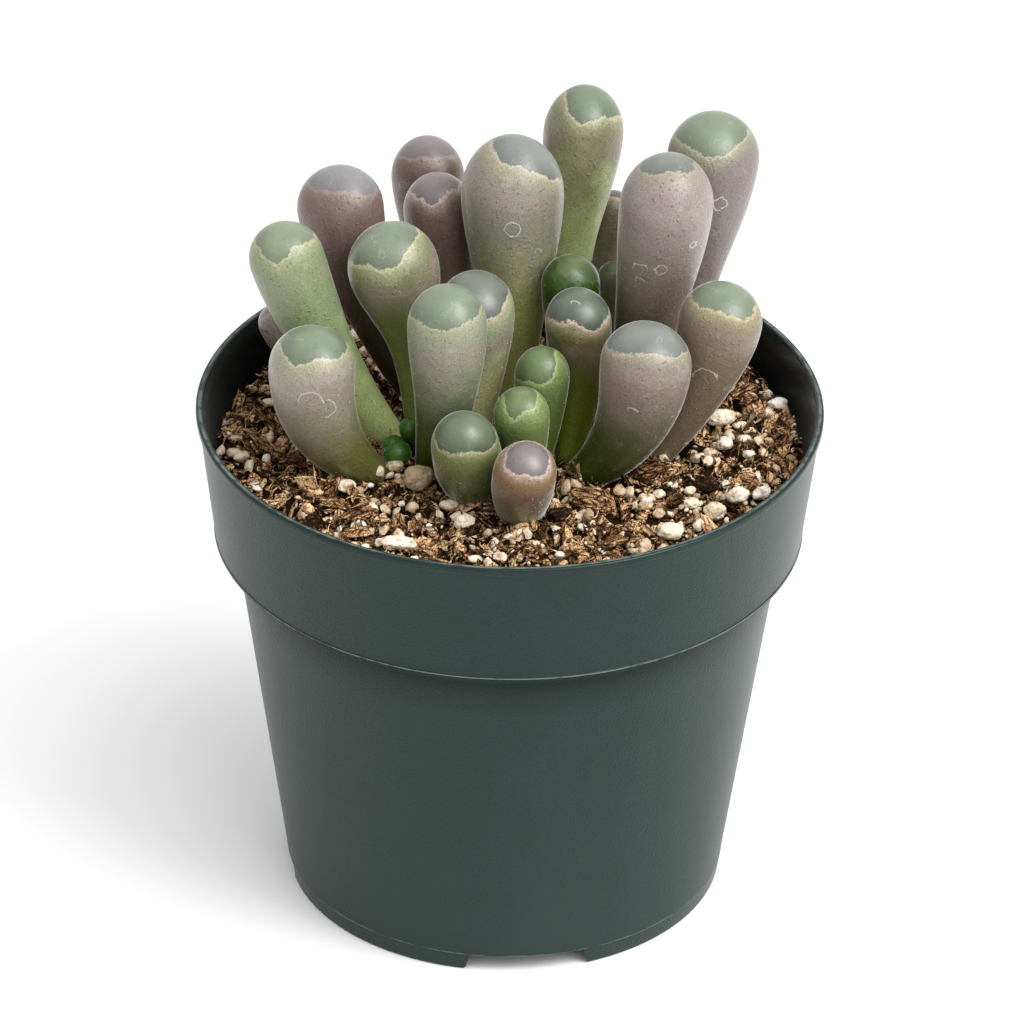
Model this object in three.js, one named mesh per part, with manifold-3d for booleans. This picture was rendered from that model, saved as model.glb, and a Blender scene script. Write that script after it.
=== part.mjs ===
// Potted baby toes: a clump of club-shaped succulent leaves standing in a filled round nursery pot.
// Millimetres, +Z up. The origin is on the pot's axis, on the surface that the pot stands on.
// The photograph is taken from the -Y side, with +X to its right.
import * as THREE from 'three';
import { mergeVertices } from 'three/addons/utils/BufferGeometryUtils.js';
import Module from 'manifold-3d';

const wasm = await Module();
wasm.setup();

// Driving dimensions of the pot
const POT_HEIGHT = 68;
const RIM_RADIUS = 40;
const WALL = 1.2;
const LIP_PROUD = 0.2;
const LIP_HEIGHT = 1.1;
const COLLAR_TOP_RADIUS = RIM_RADIUS - LIP_PROUD;
const COLLAR_LOW_RADIUS = 37.6;
const COLLAR_LOW_Z = 50.3;
const BODY_TOP_RADIUS = 35.2;
const BODY_LOW_RADIUS = 28.3;
const FOOT_HEIGHT = 2.5;
const FOOT_RADIUS = 28;
const FOOT_INSET = 0.3;
const EDGE_ROUND = 0.4;
const POT_SIDES = 64;

// Notches through the foot ring and drain holes in the floor
const NOTCHES = 4;
const FIRST_NOTCH_DEG = 7;
const NOTCH_WIDTH = 15.5;
const NOTCH_FLARE = 0.8;
const NOTCH_DRAFT = 0.4;
const NOTCH_INNER_RADIUS = 22;
const DRAIN_RADIUS = 3.5;
const DRAIN_RING_RADIUS = 19;
const DRAIN_SIDES = 20;

// Driving dimensions of the soil
const CLEARANCE = 0.3;
const SOIL_EDGE_Z = 60.8;
const SOIL_MOUND = 1.2;
const SOIL_RINGS = 10;
const SOIL_SIDES = 40;
const CRUMB_HEIGHT = 0.55;
const CRUMB_WAVE = 4.6;

// Crossed waves for the crumbly surface: pace along x and along y, phase, and share of the height
const CRUMB_WAVES = [
  [0.9, 0.4, 0, 0.35],
  [0.5, -0.8, 1.3, 0.35],
  [0.34, 1.7, 2.1, 0.3],
];

// How the leaves are built
const ROOT_DEPTH = 3.4;
const ROOT_TO_WIDTH = 1.6;
const ROOT_SHOULDER = 0.8;
const ROOT_SLIM = 0.3;
const SOCKET_GAP = 0.35;
const BODY_STEPS = 6;
const DOME_DEGREES = [28, 54, 75];
const LEAF_SIDES = 12;
const TINY_LEAF_WIDTH = 3.2;
const TINY_LEAF_SIDES = 8;
const SWELL = 0.55;

// The leaves from front to back: where the foot stands in the soil, the middle of the widest round
// below the dome, how far the leaf's middle bows off the straight line between them, and as sizes the
// widths at foot, middle and cap and the height of the dome.
const LEAVES = [
  { foot: [2, -14], cap: [2, -22.5, 71.5], size: [5, 7.5, 8, 4], hue: 'mauve' },
  { foot: [-4.5, -10], cap: [-5.5, -16, 71], size: [5, 8, 9, 5.5], hue: 'sage' },
  { foot: [-17.5, -6.5], cap: [-25, -8.5, 78], bow: [-2, -0.5, -1], size: [4.5, 9, 11, 5.5], hue: 'olive' },
  { foot: [10, -6], cap: [17, -9, 79.5], bow: [1.5, -0.5, -1], size: [5, 9, 11.5, 5.5], hue: 'olive' },
  { foot: [2, -7.5], cap: [1.5, -11.5, 73.5], size: [4.5, 6, 7, 3.5], hue: 'green' },
  { foot: [3.5, -2.5], cap: [4, -4.5, 75], size: [4, 6, 7, 4], hue: 'green' },
  { foot: [-9.5, -4.5], cap: [-8, -7, 83.5], bow: [0.5, -1.5, 0], size: [5, 7.5, 10, 5.5], hue: 'sage' },
  { foot: [-15.5, -2.5], cap: [-16, -3.5, 63.5], size: [1.6, 1.8, 2, 1], hue: 'green' },
  { foot: [-13.5, -3], cap: [-13.5, -4.5, 64], size: [1.6, 1.8, 2, 1], hue: 'green' },
  { foot: [-12.5, -0.5], cap: [-12.5, -2.5, 65.5], size: [1.6, 2, 2.2, 1.2], hue: 'green' },
  { foot: [7.5, -1], cap: [8.5, 1.5, 79.5], bow: [0.5, 1.5, 0], size: [3.5, 7, 8.5, 4.5], hue: 'sage' },
  { foot: [-5, 0], cap: [-4.5, 2.5, 80.5], bow: [0.5, 1, 0], size: [4, 7, 10, 5], hue: 'olive' },
  { foot: [18.5, -2], cap: [26.5, -2, 82], bow: [1, 0, -0.5], size: [3.5, 7, 10.5, 5], hue: 'olive' },
  { foot: [-15.5, 2], cap: [-28.5, 2.5, 87.5], bow: [-1, -0.5, -0.5], size: [4.5, 7, 9.5, 5], hue: 'sage' },
  { foot: [-11.5, 4.5], cap: [-15, 6, 84.5], bow: [0.5, 0.5, 0], size: [3.5, 5.5, 11.5, 6], hue: 'sage' },
  { foot: [8, 13.5], cap: [7.5, 10, 80], size: [4, 6, 7.5, 4], hue: 'green' },
  { foot: [0.5, 13.5], cap: [0, 16.5, 89.5], bow: [0, 0.5, 0], size: [4.5, 9, 13, 8], hue: 'olive' },
  { foot: [15, 12.5], cap: [19.5, 9, 92.5], bow: [0.5, 0, 0], size: [5, 9, 12, 7], hue: 'mauve' },
  { foot: [-5, 19.5], cap: [-9.5, 22.5, 83.5], bow: [-0.5, 0, 0], size: [4, 6, 9, 5], hue: 'mauve' },
  { foot: [-23, 11.5], cap: [-30, 15.5, 70.5], bow: [-0.5, 0, 0], size: [2.5, 3.5, 5, 2.5], hue: 'mauve' },
  { foot: [-12, 12], cap: [-22, 16, 87.5], bow: [-1.5, 0, -0.5], size: [3.5, 6, 11, 5.5], hue: 'mauve' },
  { foot: [7, 24.5], cap: [9, 31.5, 90], size: [3.5, 5.5, 10.5, 6.5], hue: 'green' },
  { foot: [12.5, 23.5], cap: [13, 26, 71.5], size: [2.5, 3, 4, 2.5], hue: 'green' },
  { foot: [20, 15.5], cap: [25.5, 20.5, 93], bow: [0.5, 0, 0], size: [4, 7, 12, 6], hue: 'mauve' },
  { foot: [11.5, 26.5], cap: [13, 33, 77.5], size: [2.5, 3.5, 5.5, 3], hue: 'mauve' },
  { foot: [-9, 24], cap: [-11, 32, 83], bow: [0, 0.5, 0], size: [3.5, 6, 9.5, 5.5], hue: 'mauve' },
];

// The big light lumps of pumice and perlite on the soil: x, y and width
const GRAIN_SPOTS = [
  [27, 8, 4],
  [30, 6, 2],
  [30, 2.5, 1.8],
  [27.5, 1.5, 2],
  [34, 11, 2.8],
  [28.5, -12, 3],
  [32, -10.5, 2.8],
  [26, -15.5, 3],
  [23, -13, 2.4],
  [20.5, -20.5, 3.4],
  [-20.5, -10, 2.6],
  [-14.5, -7.5, 2.2],
  [-11.5, -9, 4.2],
  [-7.5, -16.5, 2.2],
  [-5.5, -20, 3.4],
  [-14, -23, 4.2],
  [-0.5, -26.5, 2],
  [-35, -2, 2.6],
];

// The big lumps of bark: x, y, length and how far each is turned
const BARK_SPOTS = [
  [11, -13.5, 6.5, 20],
  [7.5, -17, 4, 70],
  [24, -7, 3.5, 10],
  [-28, -14, 4.5, 120],
  [-30, 8, 4.5, 60],
];
const GRAINS = 16;
const GRAIN_WIDTH = [1.4, 2.4];
const GRAIN_SEED = 11;
const CHIPS = 20;
const CHIP_LENGTH = [2.6, 5];
const CHIP_SEED = 23;
const LITTER_RADIUS = 34;
const LITTER_GAP = 1.8;
const GRAIN_LIFT = 0.14;
const GRAIN_NARROWNESS = [0.8, 1];
const GRAIN_FLATNESS = 0.75;
const CHIP_NARROWNESS = [0.3, 0.5];
const CHIP_THICKNESS = 1.4;
const CHIP_LIFT = 0.25;
const CHIP_TILT = 0.5;

const FINISHES = {
  pot: { color: '#3c4a47', roughness: 0.55 },
  soil: { color: '#5d4332', roughness: 0.95 },
  mauve: { color: '#9a8985', roughness: 0.5 },
  olive: { color: '#87836b', roughness: 0.5 },
  sage: { color: '#849178', roughness: 0.5 },
  green: { color: '#6f9445', roughness: 0.45 },
};

// A closed geometry as a solid, to be joined and cut
function solidOf(geometry) {
  const bare = geometry.clone();
  bare.deleteAttribute('normal');
  bare.deleteAttribute('uv');
  const merged = mergeVertices(bare);
  return new wasm.Manifold(
    new wasm.Mesh({
      numProp: 3,
      vertProperties: merged.attributes.position.array,
      triVerts: new Uint32Array(merged.index.array),
    }),
  );
}

// A solid back as a geometry with flat faces
function geometryOf(solid) {
  const mesh = solid.getMesh();
  const geometry = new THREE.BufferGeometry();
  geometry.setAttribute('position', new THREE.BufferAttribute(mesh.vertProperties, 3));
  geometry.setIndex(new THREE.BufferAttribute(mesh.triVerts, 1));
  return geometry;
}

// The biggest body of a solid: cutting the sockets can leave a loose crumb, which is dropped
function mainBody(solid) {
  const bodies = solid.decompose();
  return bodies.reduce((best, body) => (body.volume() > best.volume() ? body : best));
}

// A closed skin over rings of points, with a pole at each end
function ringSkin(firstPole, rings, lastPole) {
  const sides = rings[0].length;
  const points = [firstPole, ...rings.flat(), lastPole];
  const index = [];
  const at = (ring, side) => 1 + ring * sides + (side % sides);
  for (let side = 0; side < sides; side += 1) {
    index.push(0, at(0, side + 1), at(0, side));
    index.push(points.length - 1, at(rings.length - 1, side), at(rings.length - 1, side + 1));
    for (let ring = 0; ring + 1 < rings.length; ring += 1) {
      index.push(at(ring, side), at(ring, side + 1), at(ring + 1, side));
      index.push(at(ring, side + 1), at(ring + 1, side + 1), at(ring + 1, side));
    }
  }
  const geometry = new THREE.BufferGeometry().setFromPoints(points);
  geometry.setIndex(index);
  return geometry;
}

// A repeatable random number generator between 0 and 1
function seededRandom(seed) {
  let state = seed;
  return () => {
    state = (state * 1664525 + 1013904223) % 4294967296;
    return state / 4294967296;
  };
}

const between = (random, [low, high]) => low + (high - low) * random();
const coneRadiusAt = (z, lowZ, lowRadius, highZ, highRadius) =>
  THREE.MathUtils.mapLinear(z, lowZ, highZ, lowRadius, highRadius);
const bodyRadiusAt = (z) => coneRadiusAt(z, FOOT_HEIGHT, BODY_LOW_RADIUS, COLLAR_LOW_Z, BODY_TOP_RADIUS);
const collarRadiusAt = (z) =>
  coneRadiusAt(z, COLLAR_LOW_Z, COLLAR_LOW_RADIUS, POT_HEIGHT, COLLAR_TOP_RADIUS);

// The pot's wall is turned about its axis, then the notches and drain holes are cut
function potGeometry() {
  const floorTop = FOOT_HEIGHT + WALL;
  const ledgeTop = COLLAR_LOW_Z + WALL;
  const lipLow = POT_HEIGHT - LIP_HEIGHT;
  const rimInner = collarRadiusAt(POT_HEIGHT) - WALL;
  const profile = [
    [0, FOOT_HEIGHT],
    [FOOT_RADIUS - WALL, FOOT_HEIGHT],
    [FOOT_RADIUS - WALL, 0],
    [FOOT_RADIUS - EDGE_ROUND, 0],
    [FOOT_RADIUS, EDGE_ROUND],
    [BODY_LOW_RADIUS - FOOT_INSET, FOOT_HEIGHT - FOOT_INSET],
    [BODY_LOW_RADIUS, FOOT_HEIGHT],
    [BODY_TOP_RADIUS, COLLAR_LOW_Z],
    [COLLAR_LOW_RADIUS - EDGE_ROUND, COLLAR_LOW_Z],
    [COLLAR_LOW_RADIUS, COLLAR_LOW_Z + EDGE_ROUND],
    [collarRadiusAt(lipLow), lipLow],
    [RIM_RADIUS, lipLow + LIP_PROUD],
    [RIM_RADIUS, POT_HEIGHT - EDGE_ROUND],
    [RIM_RADIUS - EDGE_ROUND, POT_HEIGHT],
    [rimInner + EDGE_ROUND, POT_HEIGHT],
    [rimInner, POT_HEIGHT - EDGE_ROUND],
    [collarRadiusAt(ledgeTop) - WALL, ledgeTop],
    [bodyRadiusAt(ledgeTop) - WALL, ledgeTop],
    [bodyRadiusAt(floorTop) - WALL, floorTop],
    [0, floorTop],
  ];
  const wall = new THREE.LatheGeometry(
    profile.map(([radius, z]) => new THREE.Vector2(radius, z)),
    POT_SIDES,
  );
  wall.rotateX(Math.PI / 2);
  let pot = solidOf(wall);
  for (let turn = 0; turn < NOTCHES; turn += 1) {
    const angle = THREE.MathUtils.degToRad(FIRST_NOTCH_DEG + (turn * 360) / NOTCHES);
    pot = pot.subtract(solidOf(notchGeometry(angle)));
    pot = pot.subtract(solidOf(drainGeometry(angle + Math.PI / NOTCHES)));
  }
  return geometryOf(pot);
}

// A notch's opening seen from outside: straight up to the floor, and flared at the foot's lower edge
function notchGeometry(angle) {
  const half = NOTCH_WIDTH / 2;
  const outline = new THREE.Shape();
  outline.moveTo(-half - NOTCH_FLARE, -1);
  outline.lineTo(half + NOTCH_FLARE, -1);
  outline.lineTo(half + NOTCH_FLARE, 0);
  outline.quadraticCurveTo(half, 0, half, NOTCH_FLARE);
  outline.lineTo(half - NOTCH_DRAFT, FOOT_HEIGHT);
  outline.lineTo(-half + NOTCH_DRAFT, FOOT_HEIGHT);
  outline.lineTo(-half, NOTCH_FLARE);
  outline.quadraticCurveTo(-half, 0, -half - NOTCH_FLARE, 0);
  const opening = new THREE.ExtrudeGeometry(outline, {
    depth: RIM_RADIUS - NOTCH_INNER_RADIUS,
    bevelEnabled: false,
    curveSegments: 3,
  });
  opening.translate(0, 0, NOTCH_INNER_RADIUS);
  opening.rotateX(Math.PI / 2);
  opening.rotateZ(angle);
  return opening;
}

function drainGeometry(angle) {
  const through = 4 * WALL;
  const hole = new THREE.CylinderGeometry(DRAIN_RADIUS, DRAIN_RADIUS, through, DRAIN_SIDES);
  hole.rotateX(Math.PI / 2);
  hole.translate(0, -DRAIN_RING_RADIUS, FOOT_HEIGHT + WALL / 2);
  hole.rotateZ(angle);
  return hole;
}

// The soil's height without its crumbs: a low mound
function soilHeight(x, y) {
  const out = Math.min(1, Math.hypot(x, y) / RIM_RADIUS);
  return SOIL_EDGE_Z + SOIL_MOUND * (1 - out * out);
}

function crumbs(x, y) {
  const k = (2 * Math.PI) / CRUMB_WAVE;
  const wave = ([paceX, paceY, phase, share]) => share * Math.sin(k * (paceX * x + paceY * y) + phase);
  return CRUMB_HEIGHT * CRUMB_WAVES.reduce((sum, row) => sum + wave(row), 0);
}

// The soil fills the pot from its floor, one clearance away from the wall
function soilBlock() {
  const floor = FOOT_HEIGHT + WALL + CLEARANCE;
  const ledge = COLLAR_LOW_Z + WALL + CLEARANCE;
  const wallGap = WALL + CLEARANCE;
  const edge = collarRadiusAt(SOIL_EDGE_Z) - wallGap;
  const ringAt = (radius, height) =>
    Array.from({ length: SOIL_SIDES }, (_, side) => {
      const angle = (side / SOIL_SIDES) * 2 * Math.PI;
      const x = radius * Math.cos(angle);
      const y = radius * Math.sin(angle);
      return new THREE.Vector3(x, y, height(x, y));
    });
  const rings = [
    ringAt(bodyRadiusAt(floor) - wallGap, () => floor),
    ringAt(bodyRadiusAt(ledge) - wallGap, () => ledge),
    ringAt(collarRadiusAt(ledge) - wallGap, () => ledge),
    ringAt(edge, soilHeight),
  ];
  for (let ring = SOIL_RINGS - 1; ring > 0; ring -= 1) {
    rings.push(ringAt((edge * ring) / SOIL_RINGS, (x, y) => soilHeight(x, y) + crumbs(x, y)));
  }
  const bottom = new THREE.Vector3(0, 0, floor);
  const top = new THREE.Vector3(0, 0, soilHeight(0, 0) + crumbs(0, 0));
  return solidOf(ringSkin(bottom, rings, top));
}

// A lump of pumice or perlite, sunk a third of its height into the soil
function grain(x, y, width, random) {
  const lump = new THREE.IcosahedronGeometry(width / 2, 0);
  lump.scale(1, between(random, GRAIN_NARROWNESS), GRAIN_FLATNESS);
  lump.rotateX(random() - 0.5);
  lump.rotateZ(random() * Math.PI);
  lump.translate(x, y, soilHeight(x, y) + GRAIN_LIFT * width);
  return solidOf(lump);
}

// A splinter of bark, lying nearly flat with its lower half in the soil
function chip(x, y, length, turn, random) {
  const width = length * between(random, CHIP_NARROWNESS);
  const splinter = new THREE.BoxGeometry(length, width, CHIP_THICKNESS);
  splinter.rotateY((random() - 0.5) * CHIP_TILT);
  splinter.rotateX((random() - 0.5) * CHIP_TILT);
  splinter.rotateZ(turn);
  splinter.translate(x, y, soilHeight(x, y) + CHIP_LIFT);
  return solidOf(splinter);
}

// Spots spread evenly over the soil, clear of the leaves' feet
function scatter(count, random) {
  const spots = [];
  while (spots.length < count) {
    const radius = LITTER_RADIUS * Math.sqrt(random());
    const angle = 2 * Math.PI * random();
    const x = radius * Math.cos(angle);
    const y = radius * Math.sin(angle);
    const clear = ({ foot, size }) => Math.hypot(foot[0] - x, foot[1] - y) > size[0] / 2 + LITTER_GAP;
    if (LEAVES.every(clear)) {
      spots.push([x, y]);
    }
  }
  return spots;
}

function soilGeometry() {
  const grainRandom = seededRandom(GRAIN_SEED);
  const chipRandom = seededRandom(CHIP_SEED);
  let soil = soilBlock();
  for (const [x, y, width] of GRAIN_SPOTS) {
    soil = soil.add(grain(x, y, width, grainRandom));
  }
  for (const [x, y, length, degrees] of BARK_SPOTS) {
    soil = soil.add(chip(x, y, length, THREE.MathUtils.degToRad(degrees), chipRandom));
  }
  for (const [x, y] of scatter(GRAINS, grainRandom)) {
    soil = soil.add(grain(x, y, between(grainRandom, GRAIN_WIDTH), grainRandom));
  }
  for (const [x, y] of scatter(CHIPS, chipRandom)) {
    const length = between(chipRandom, CHIP_LENGTH);
    soil = soil.add(chip(x, y, length, chipRandom() * Math.PI, chipRandom));
  }
  for (const leaf of LEAVES) {
    soil = soil.subtract(solidOf(leafGeometry(leaf, SOCKET_GAP)));
  }
  return geometryOf(mainBody(soil));
}

// A smooth step between two values, with the slope that it has at each end
function hermite(t, from, to, slopeFrom, slopeTo) {
  const t2 = t * t;
  const t3 = t2 * t;
  return (
    (2 * t3 - 3 * t2 + 1) * from +
    (t3 - 2 * t2 + t) * slopeFrom +
    (3 * t2 - 2 * t3) * to +
    (t3 - t2) * slopeTo
  );
}

// Half the leaf's width, t of the way from its foot to its cap: slim at the foot, level at the cap
function halfWidth(t, foot, middle, cap) {
  const slope = SWELL * (cap - foot);
  const width =
    t < 0.5
      ? hermite(2 * t, foot, middle, middle - foot, slope)
      : hermite(2 * t - 1, middle, cap, slope, 0);
  return width / 2;
}

// A leaf is a club on a bowed centre line: a blunt root, the body, then a dome over the widest round.
// A leaf's socket in the soil is the same club, thicker by the gap all round.
function leafGeometry({ foot, cap, bow = [0, 0, 0], size }, gap = 0) {
  const [footWidth, middleWidth, capWidth, dome] = size;
  const sides = capWidth < TINY_LEAF_WIDTH ? TINY_LEAF_SIDES : LEAF_SIDES;
  const start = new THREE.Vector3(foot[0], foot[1], soilHeight(foot[0], foot[1]));
  const end = new THREE.Vector3(...cap);
  const pull = start.clone().add(end).multiplyScalar(0.5).addScaledVector(new THREE.Vector3(...bow), 2);
  const line = new THREE.QuadraticBezierCurve3(start, pull, end);
  const { normals, binormals, tangents } = line.computeFrenetFrames(BODY_STEPS, false);
  const rootDepth = Math.min(ROOT_DEPTH, ROOT_TO_WIDTH * footWidth);

  const ring = (step, along, radius) =>
    Array.from({ length: sides }, (_, side) => {
      const angle = (side / sides) * 2 * Math.PI;
      return line
        .getPointAt(step / BODY_STEPS)
        .addScaledVector(tangents[step], along)
        .addScaledVector(normals[step], (radius + gap) * Math.cos(angle))
        .addScaledVector(binormals[step], (radius + gap) * Math.sin(angle));
    });
  const rootPole = start.clone().addScaledVector(tangents[0], -rootDepth - gap);
  const rings = [ring(0, -ROOT_SHOULDER * (rootDepth + gap), ROOT_SLIM * footWidth)];
  for (let step = 0; step <= BODY_STEPS; step += 1) {
    rings.push(ring(step, 0, halfWidth(step / BODY_STEPS, footWidth, middleWidth, capWidth)));
  }
  for (const degrees of DOME_DEGREES) {
    const angle = THREE.MathUtils.degToRad(degrees);
    rings.push(ring(BODY_STEPS, dome * Math.sin(angle), (capWidth / 2) * Math.cos(angle)));
  }
  const topPole = end.clone().addScaledVector(tangents[BODY_STEPS], dome + gap);
  return ringSkin(rootPole, rings, topPole);
}

function meshOf(name, geometry, finish) {
  const material = new THREE.MeshStandardMaterial({ ...finish, metalness: 0, flatShading: true });
  const mesh = new THREE.Mesh(geometry, material);
  mesh.name = name;
  return mesh;
}

const group = new THREE.Group();
group.add(meshOf('pot', potGeometry(), FINISHES.pot));
group.add(meshOf('soil', soilGeometry(), FINISHES.soil));
LEAVES.forEach((leaf, place) => {
  const name = `leaf_${String(place + 1).padStart(2, '0')}`;
  group.add(meshOf(name, leafGeometry(leaf), FINISHES[leaf.hue]));
});

export default group;
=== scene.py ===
"""Looks of the potted baby toes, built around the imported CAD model.

The plant is a clump of club-shaped, window-tipped leaves in a filled round nursery pot. Every size is in
metres in the model's own frame: +Z up, the pot's foot on z = 0, and the photographed side towards -Y.
"""

import logging
import math
from collections.abc import Callable, Sequence
from dataclasses import dataclass, field
from enum import Enum
from functools import partial

import bmesh
import bpy
import numpy as np
from bpy.types import Material, Mesh, Node, NodeSocket, NodeTree, Object
from mathutils import Matrix, Vector, noise

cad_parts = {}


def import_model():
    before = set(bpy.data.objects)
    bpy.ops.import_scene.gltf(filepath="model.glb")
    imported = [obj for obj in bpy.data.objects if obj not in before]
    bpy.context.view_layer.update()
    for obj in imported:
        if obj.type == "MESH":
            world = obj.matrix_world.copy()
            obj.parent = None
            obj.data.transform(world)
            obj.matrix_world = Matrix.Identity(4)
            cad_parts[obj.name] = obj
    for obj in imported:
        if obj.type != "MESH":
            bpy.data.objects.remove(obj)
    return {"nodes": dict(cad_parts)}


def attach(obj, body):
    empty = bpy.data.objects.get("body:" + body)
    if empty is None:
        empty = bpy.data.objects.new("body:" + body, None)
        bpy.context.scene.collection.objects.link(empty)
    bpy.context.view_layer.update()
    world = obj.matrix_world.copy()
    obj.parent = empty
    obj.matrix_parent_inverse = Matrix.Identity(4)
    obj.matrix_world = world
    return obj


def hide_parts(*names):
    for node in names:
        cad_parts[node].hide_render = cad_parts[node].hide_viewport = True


MM = 0.001
BODY = "root"
log = logging.getLogger("baby_toes")

Colour = tuple[float, float, float, float]
Place = np.ndarray | Vector
Value = NodeSocket | Colour | Vector | float
AddNode = Callable[..., NodeSocket]

# How a Mix node joins two colours: one laid over the other, or the two multiplied
OVER = {"data_type": "RGBA"}
TIMES = {"data_type": "RGBA", "blend_type": "MULTIPLY"}


def linear(colour: str) -> Colour:
    """Turns an sRGB hex colour into linear light.

    Args:
        colour: six hex digits after a #.

    Returns:
        Red, green, blue and an alpha of 1.
    """
    parts = [int(colour[i : i + 2], 16) / 255 for i in (1, 3, 5)]
    light = [p / 12.92 if p <= 0.04045 else ((p + 0.055) / 1.055) ** 2.4 for p in parts]
    return (*light, 1.0)


def add_node(
    tree: NodeTree, kind: str, inputs: dict | Sequence[Value] = (), out: int | str = 0, **settings: object
) -> NodeSocket:
    """Adds a node with its settings, and fills or links its inputs.

    Args:
        tree: the node tree that gets it.
        kind: the node's type, without the word that all shader nodes share.
        inputs: a value or another node's output for each input, by name or place, or from the first on. A
            MapRange's are a value, the range that it comes from and the range that it goes to.
        out: the name or place of the output that is given back.
        **settings: the node's own properties.

    Returns:
        That output.
    """
    node = tree.nodes.new("ShaderNode" + kind)
    for name, value in settings.items():
        setattr(node, name, value)
    for key, value in inputs.items() if isinstance(inputs, dict) else enumerate(inputs):
        if isinstance(value, NodeSocket):
            tree.links.new(value, node.inputs[key])
        else:
            node.inputs[key].default_value = value
    return node.outputs[out]


def new_material(name: str, sockets: dict[str, float | Colour]) -> tuple[Material, AddNode]:
    """Starts a material, with all that is the same over the whole surface set on its shader.

    Args:
        name: the material's name.
        sockets: the shader's inputs and what each is set to.

    Returns:
        The material, and what adds a node to it.
    """
    material = bpy.data.materials.new(name)
    material.use_nodes = True
    for socket, value in sockets.items():
        material.node_tree.nodes["Principled BSDF"].inputs[socket].default_value = value
    return material, partial(add_node, material.node_tree)


def link_shader(material: Material, sockets: dict[str, NodeSocket]) -> Material:
    """Links what varies over the surface to a material's shader.

    Args:
        material: the material.
        sockets: the shader's inputs and the output that feeds each.

    Returns:
        The material.
    """
    tree = material.node_tree
    for socket, value in sockets.items():
        tree.links.new(value, tree.nodes["Principled BSDF"].inputs[socket])
    return material


def set_ramp(node: Node, shades: tuple[str, ...]) -> None:
    """Fills a colour ramp with evenly spread shades.

    Args:
        node: the colour ramp.
        shades: sRGB hex colours from 0 to 1.
    """
    steps = node.color_ramp.elements
    while len(steps) < len(shades):
        steps.new(0.5)
    for i in range(len(shades)):
        steps[i].position = i / (len(shades) - 1)
    for step, shade in zip(steps, shades):
        step.color = linear(shade)


def new_object(name: str, mesh: Mesh, material: Material) -> Object:
    """Links a mesh into the scene as a piece with one material.

    Args:
        name: the piece's name.
        mesh: its mesh, in place.
        material: its finish.

    Returns:
        The new object.
    """
    mesh.materials.append(material)
    piece = bpy.data.objects.new(name, mesh)
    bpy.context.scene.collection.objects.link(piece)
    return piece


def new_mesh(name: str, points: np.ndarray, faces: np.ndarray) -> Mesh:
    """Makes a smooth mesh from arrays of points and of faces that all have as many corners.

    Args:
        name: the mesh's name.
        points: one row of x, y and z for each point.
        faces: one row of point numbers for each face.

    Returns:
        The new mesh.
    """
    mesh = bpy.data.meshes.new(name)
    mesh.from_pydata(points, [], faces, shade_flat=False)
    mesh.validate()
    return mesh


def set_values(mesh: Mesh, name: str, values: np.ndarray) -> None:
    """Stores a number or a vector for each point of a mesh, for its material to read.

    Args:
        mesh: the mesh.
        name: the attribute's name.
        values: one number, or one row of three, for each point.
    """
    kind, key = ("FLOAT", "value") if values.ndim == 1 else ("FLOAT_VECTOR", "vector")
    layer = mesh.attributes.new(name, kind, "POINT")
    layer.data.foreach_set(key, np.asarray(values, np.float32).ravel())


def ring_faces(rings: int, sides: int) -> np.ndarray:
    """Quads between rings of points that follow one another, each closed round its side.

    Args:
        rings: how many rings there are.
        sides: how many points each ring has.

    Returns:
        One row of four point numbers for each quad.
    """
    ring, side = np.meshgrid(np.arange(rings - 1), np.arange(sides), indexing="ij")
    after = (side + 1) % sides
    low, high = ring * sides, (ring + 1) * sides
    return np.stack([low + side, low + after, high + after, high + side], -1).reshape(-1, 4)


def close_ends(mesh: Mesh, sides: int) -> None:
    """Closes a skin of rings with a fan of triangles to the pole at each end.

    Args:
        mesh: the skin, whose last two points are the first and the last pole.
        sides: how many points each ring has.
    """
    form = bmesh.new()
    form.from_mesh(mesh)
    form.verts.ensure_lookup_table()
    first, last = form.verts[-2], form.verts[-1]
    top = len(form.verts) - 2 - sides
    for i in range(sides):
        after = (i + 1) % sides
        form.faces.new((first, form.verts[after], form.verts[i])).smooth = True
        form.faces.new((last, form.verts[top + i], form.verts[top + after])).smooth = True
    bmesh.ops.recalc_face_normals(form, faces=form.faces)
    form.to_mesh(mesh)
    form.free()


@dataclass(frozen=True)
class PotShape:
    """The nursery pot's sizes that other pieces need too, as in the part's source."""

    height: float = 68 * MM
    rim_radius: float = 40 * MM
    wall: float = 1.2 * MM
    collar_top_radius: float = 39.8 * MM
    collar_low_radius: float = 37.6 * MM
    collar_low_z: float = 50.3 * MM
    body_top_radius: float = 35.2 * MM
    body_low_radius: float = 28.3 * MM
    foot_height: float = 2.5 * MM

    def collar_radius(self, z: float) -> float:
        """The collar's outer radius at a height."""
        share = (z - self.collar_low_z) / (self.height - self.collar_low_z)
        return self.collar_low_radius + share * (self.collar_top_radius - self.collar_low_radius)

    def body_radius(self, z: float) -> float:
        """The tapered body's outer radius at a height."""
        share = (z - self.foot_height) / (self.collar_low_z - self.foot_height)
        return self.body_low_radius + share * (self.body_top_radius - self.body_low_radius)


POT = PotShape()
SOIL_EDGE_Z = 60.8 * MM
SOIL_MOUND = 1.2 * MM


def soil_height(x: np.ndarray | float, y: np.ndarray | float) -> np.ndarray | float:
    """The soil's height without its crumbs: a low mound, as in the part's source."""
    out = np.minimum(1, np.hypot(x, y) / POT.rim_radius)
    return SOIL_EDGE_Z + SOIL_MOUND * (1 - out * out)


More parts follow.
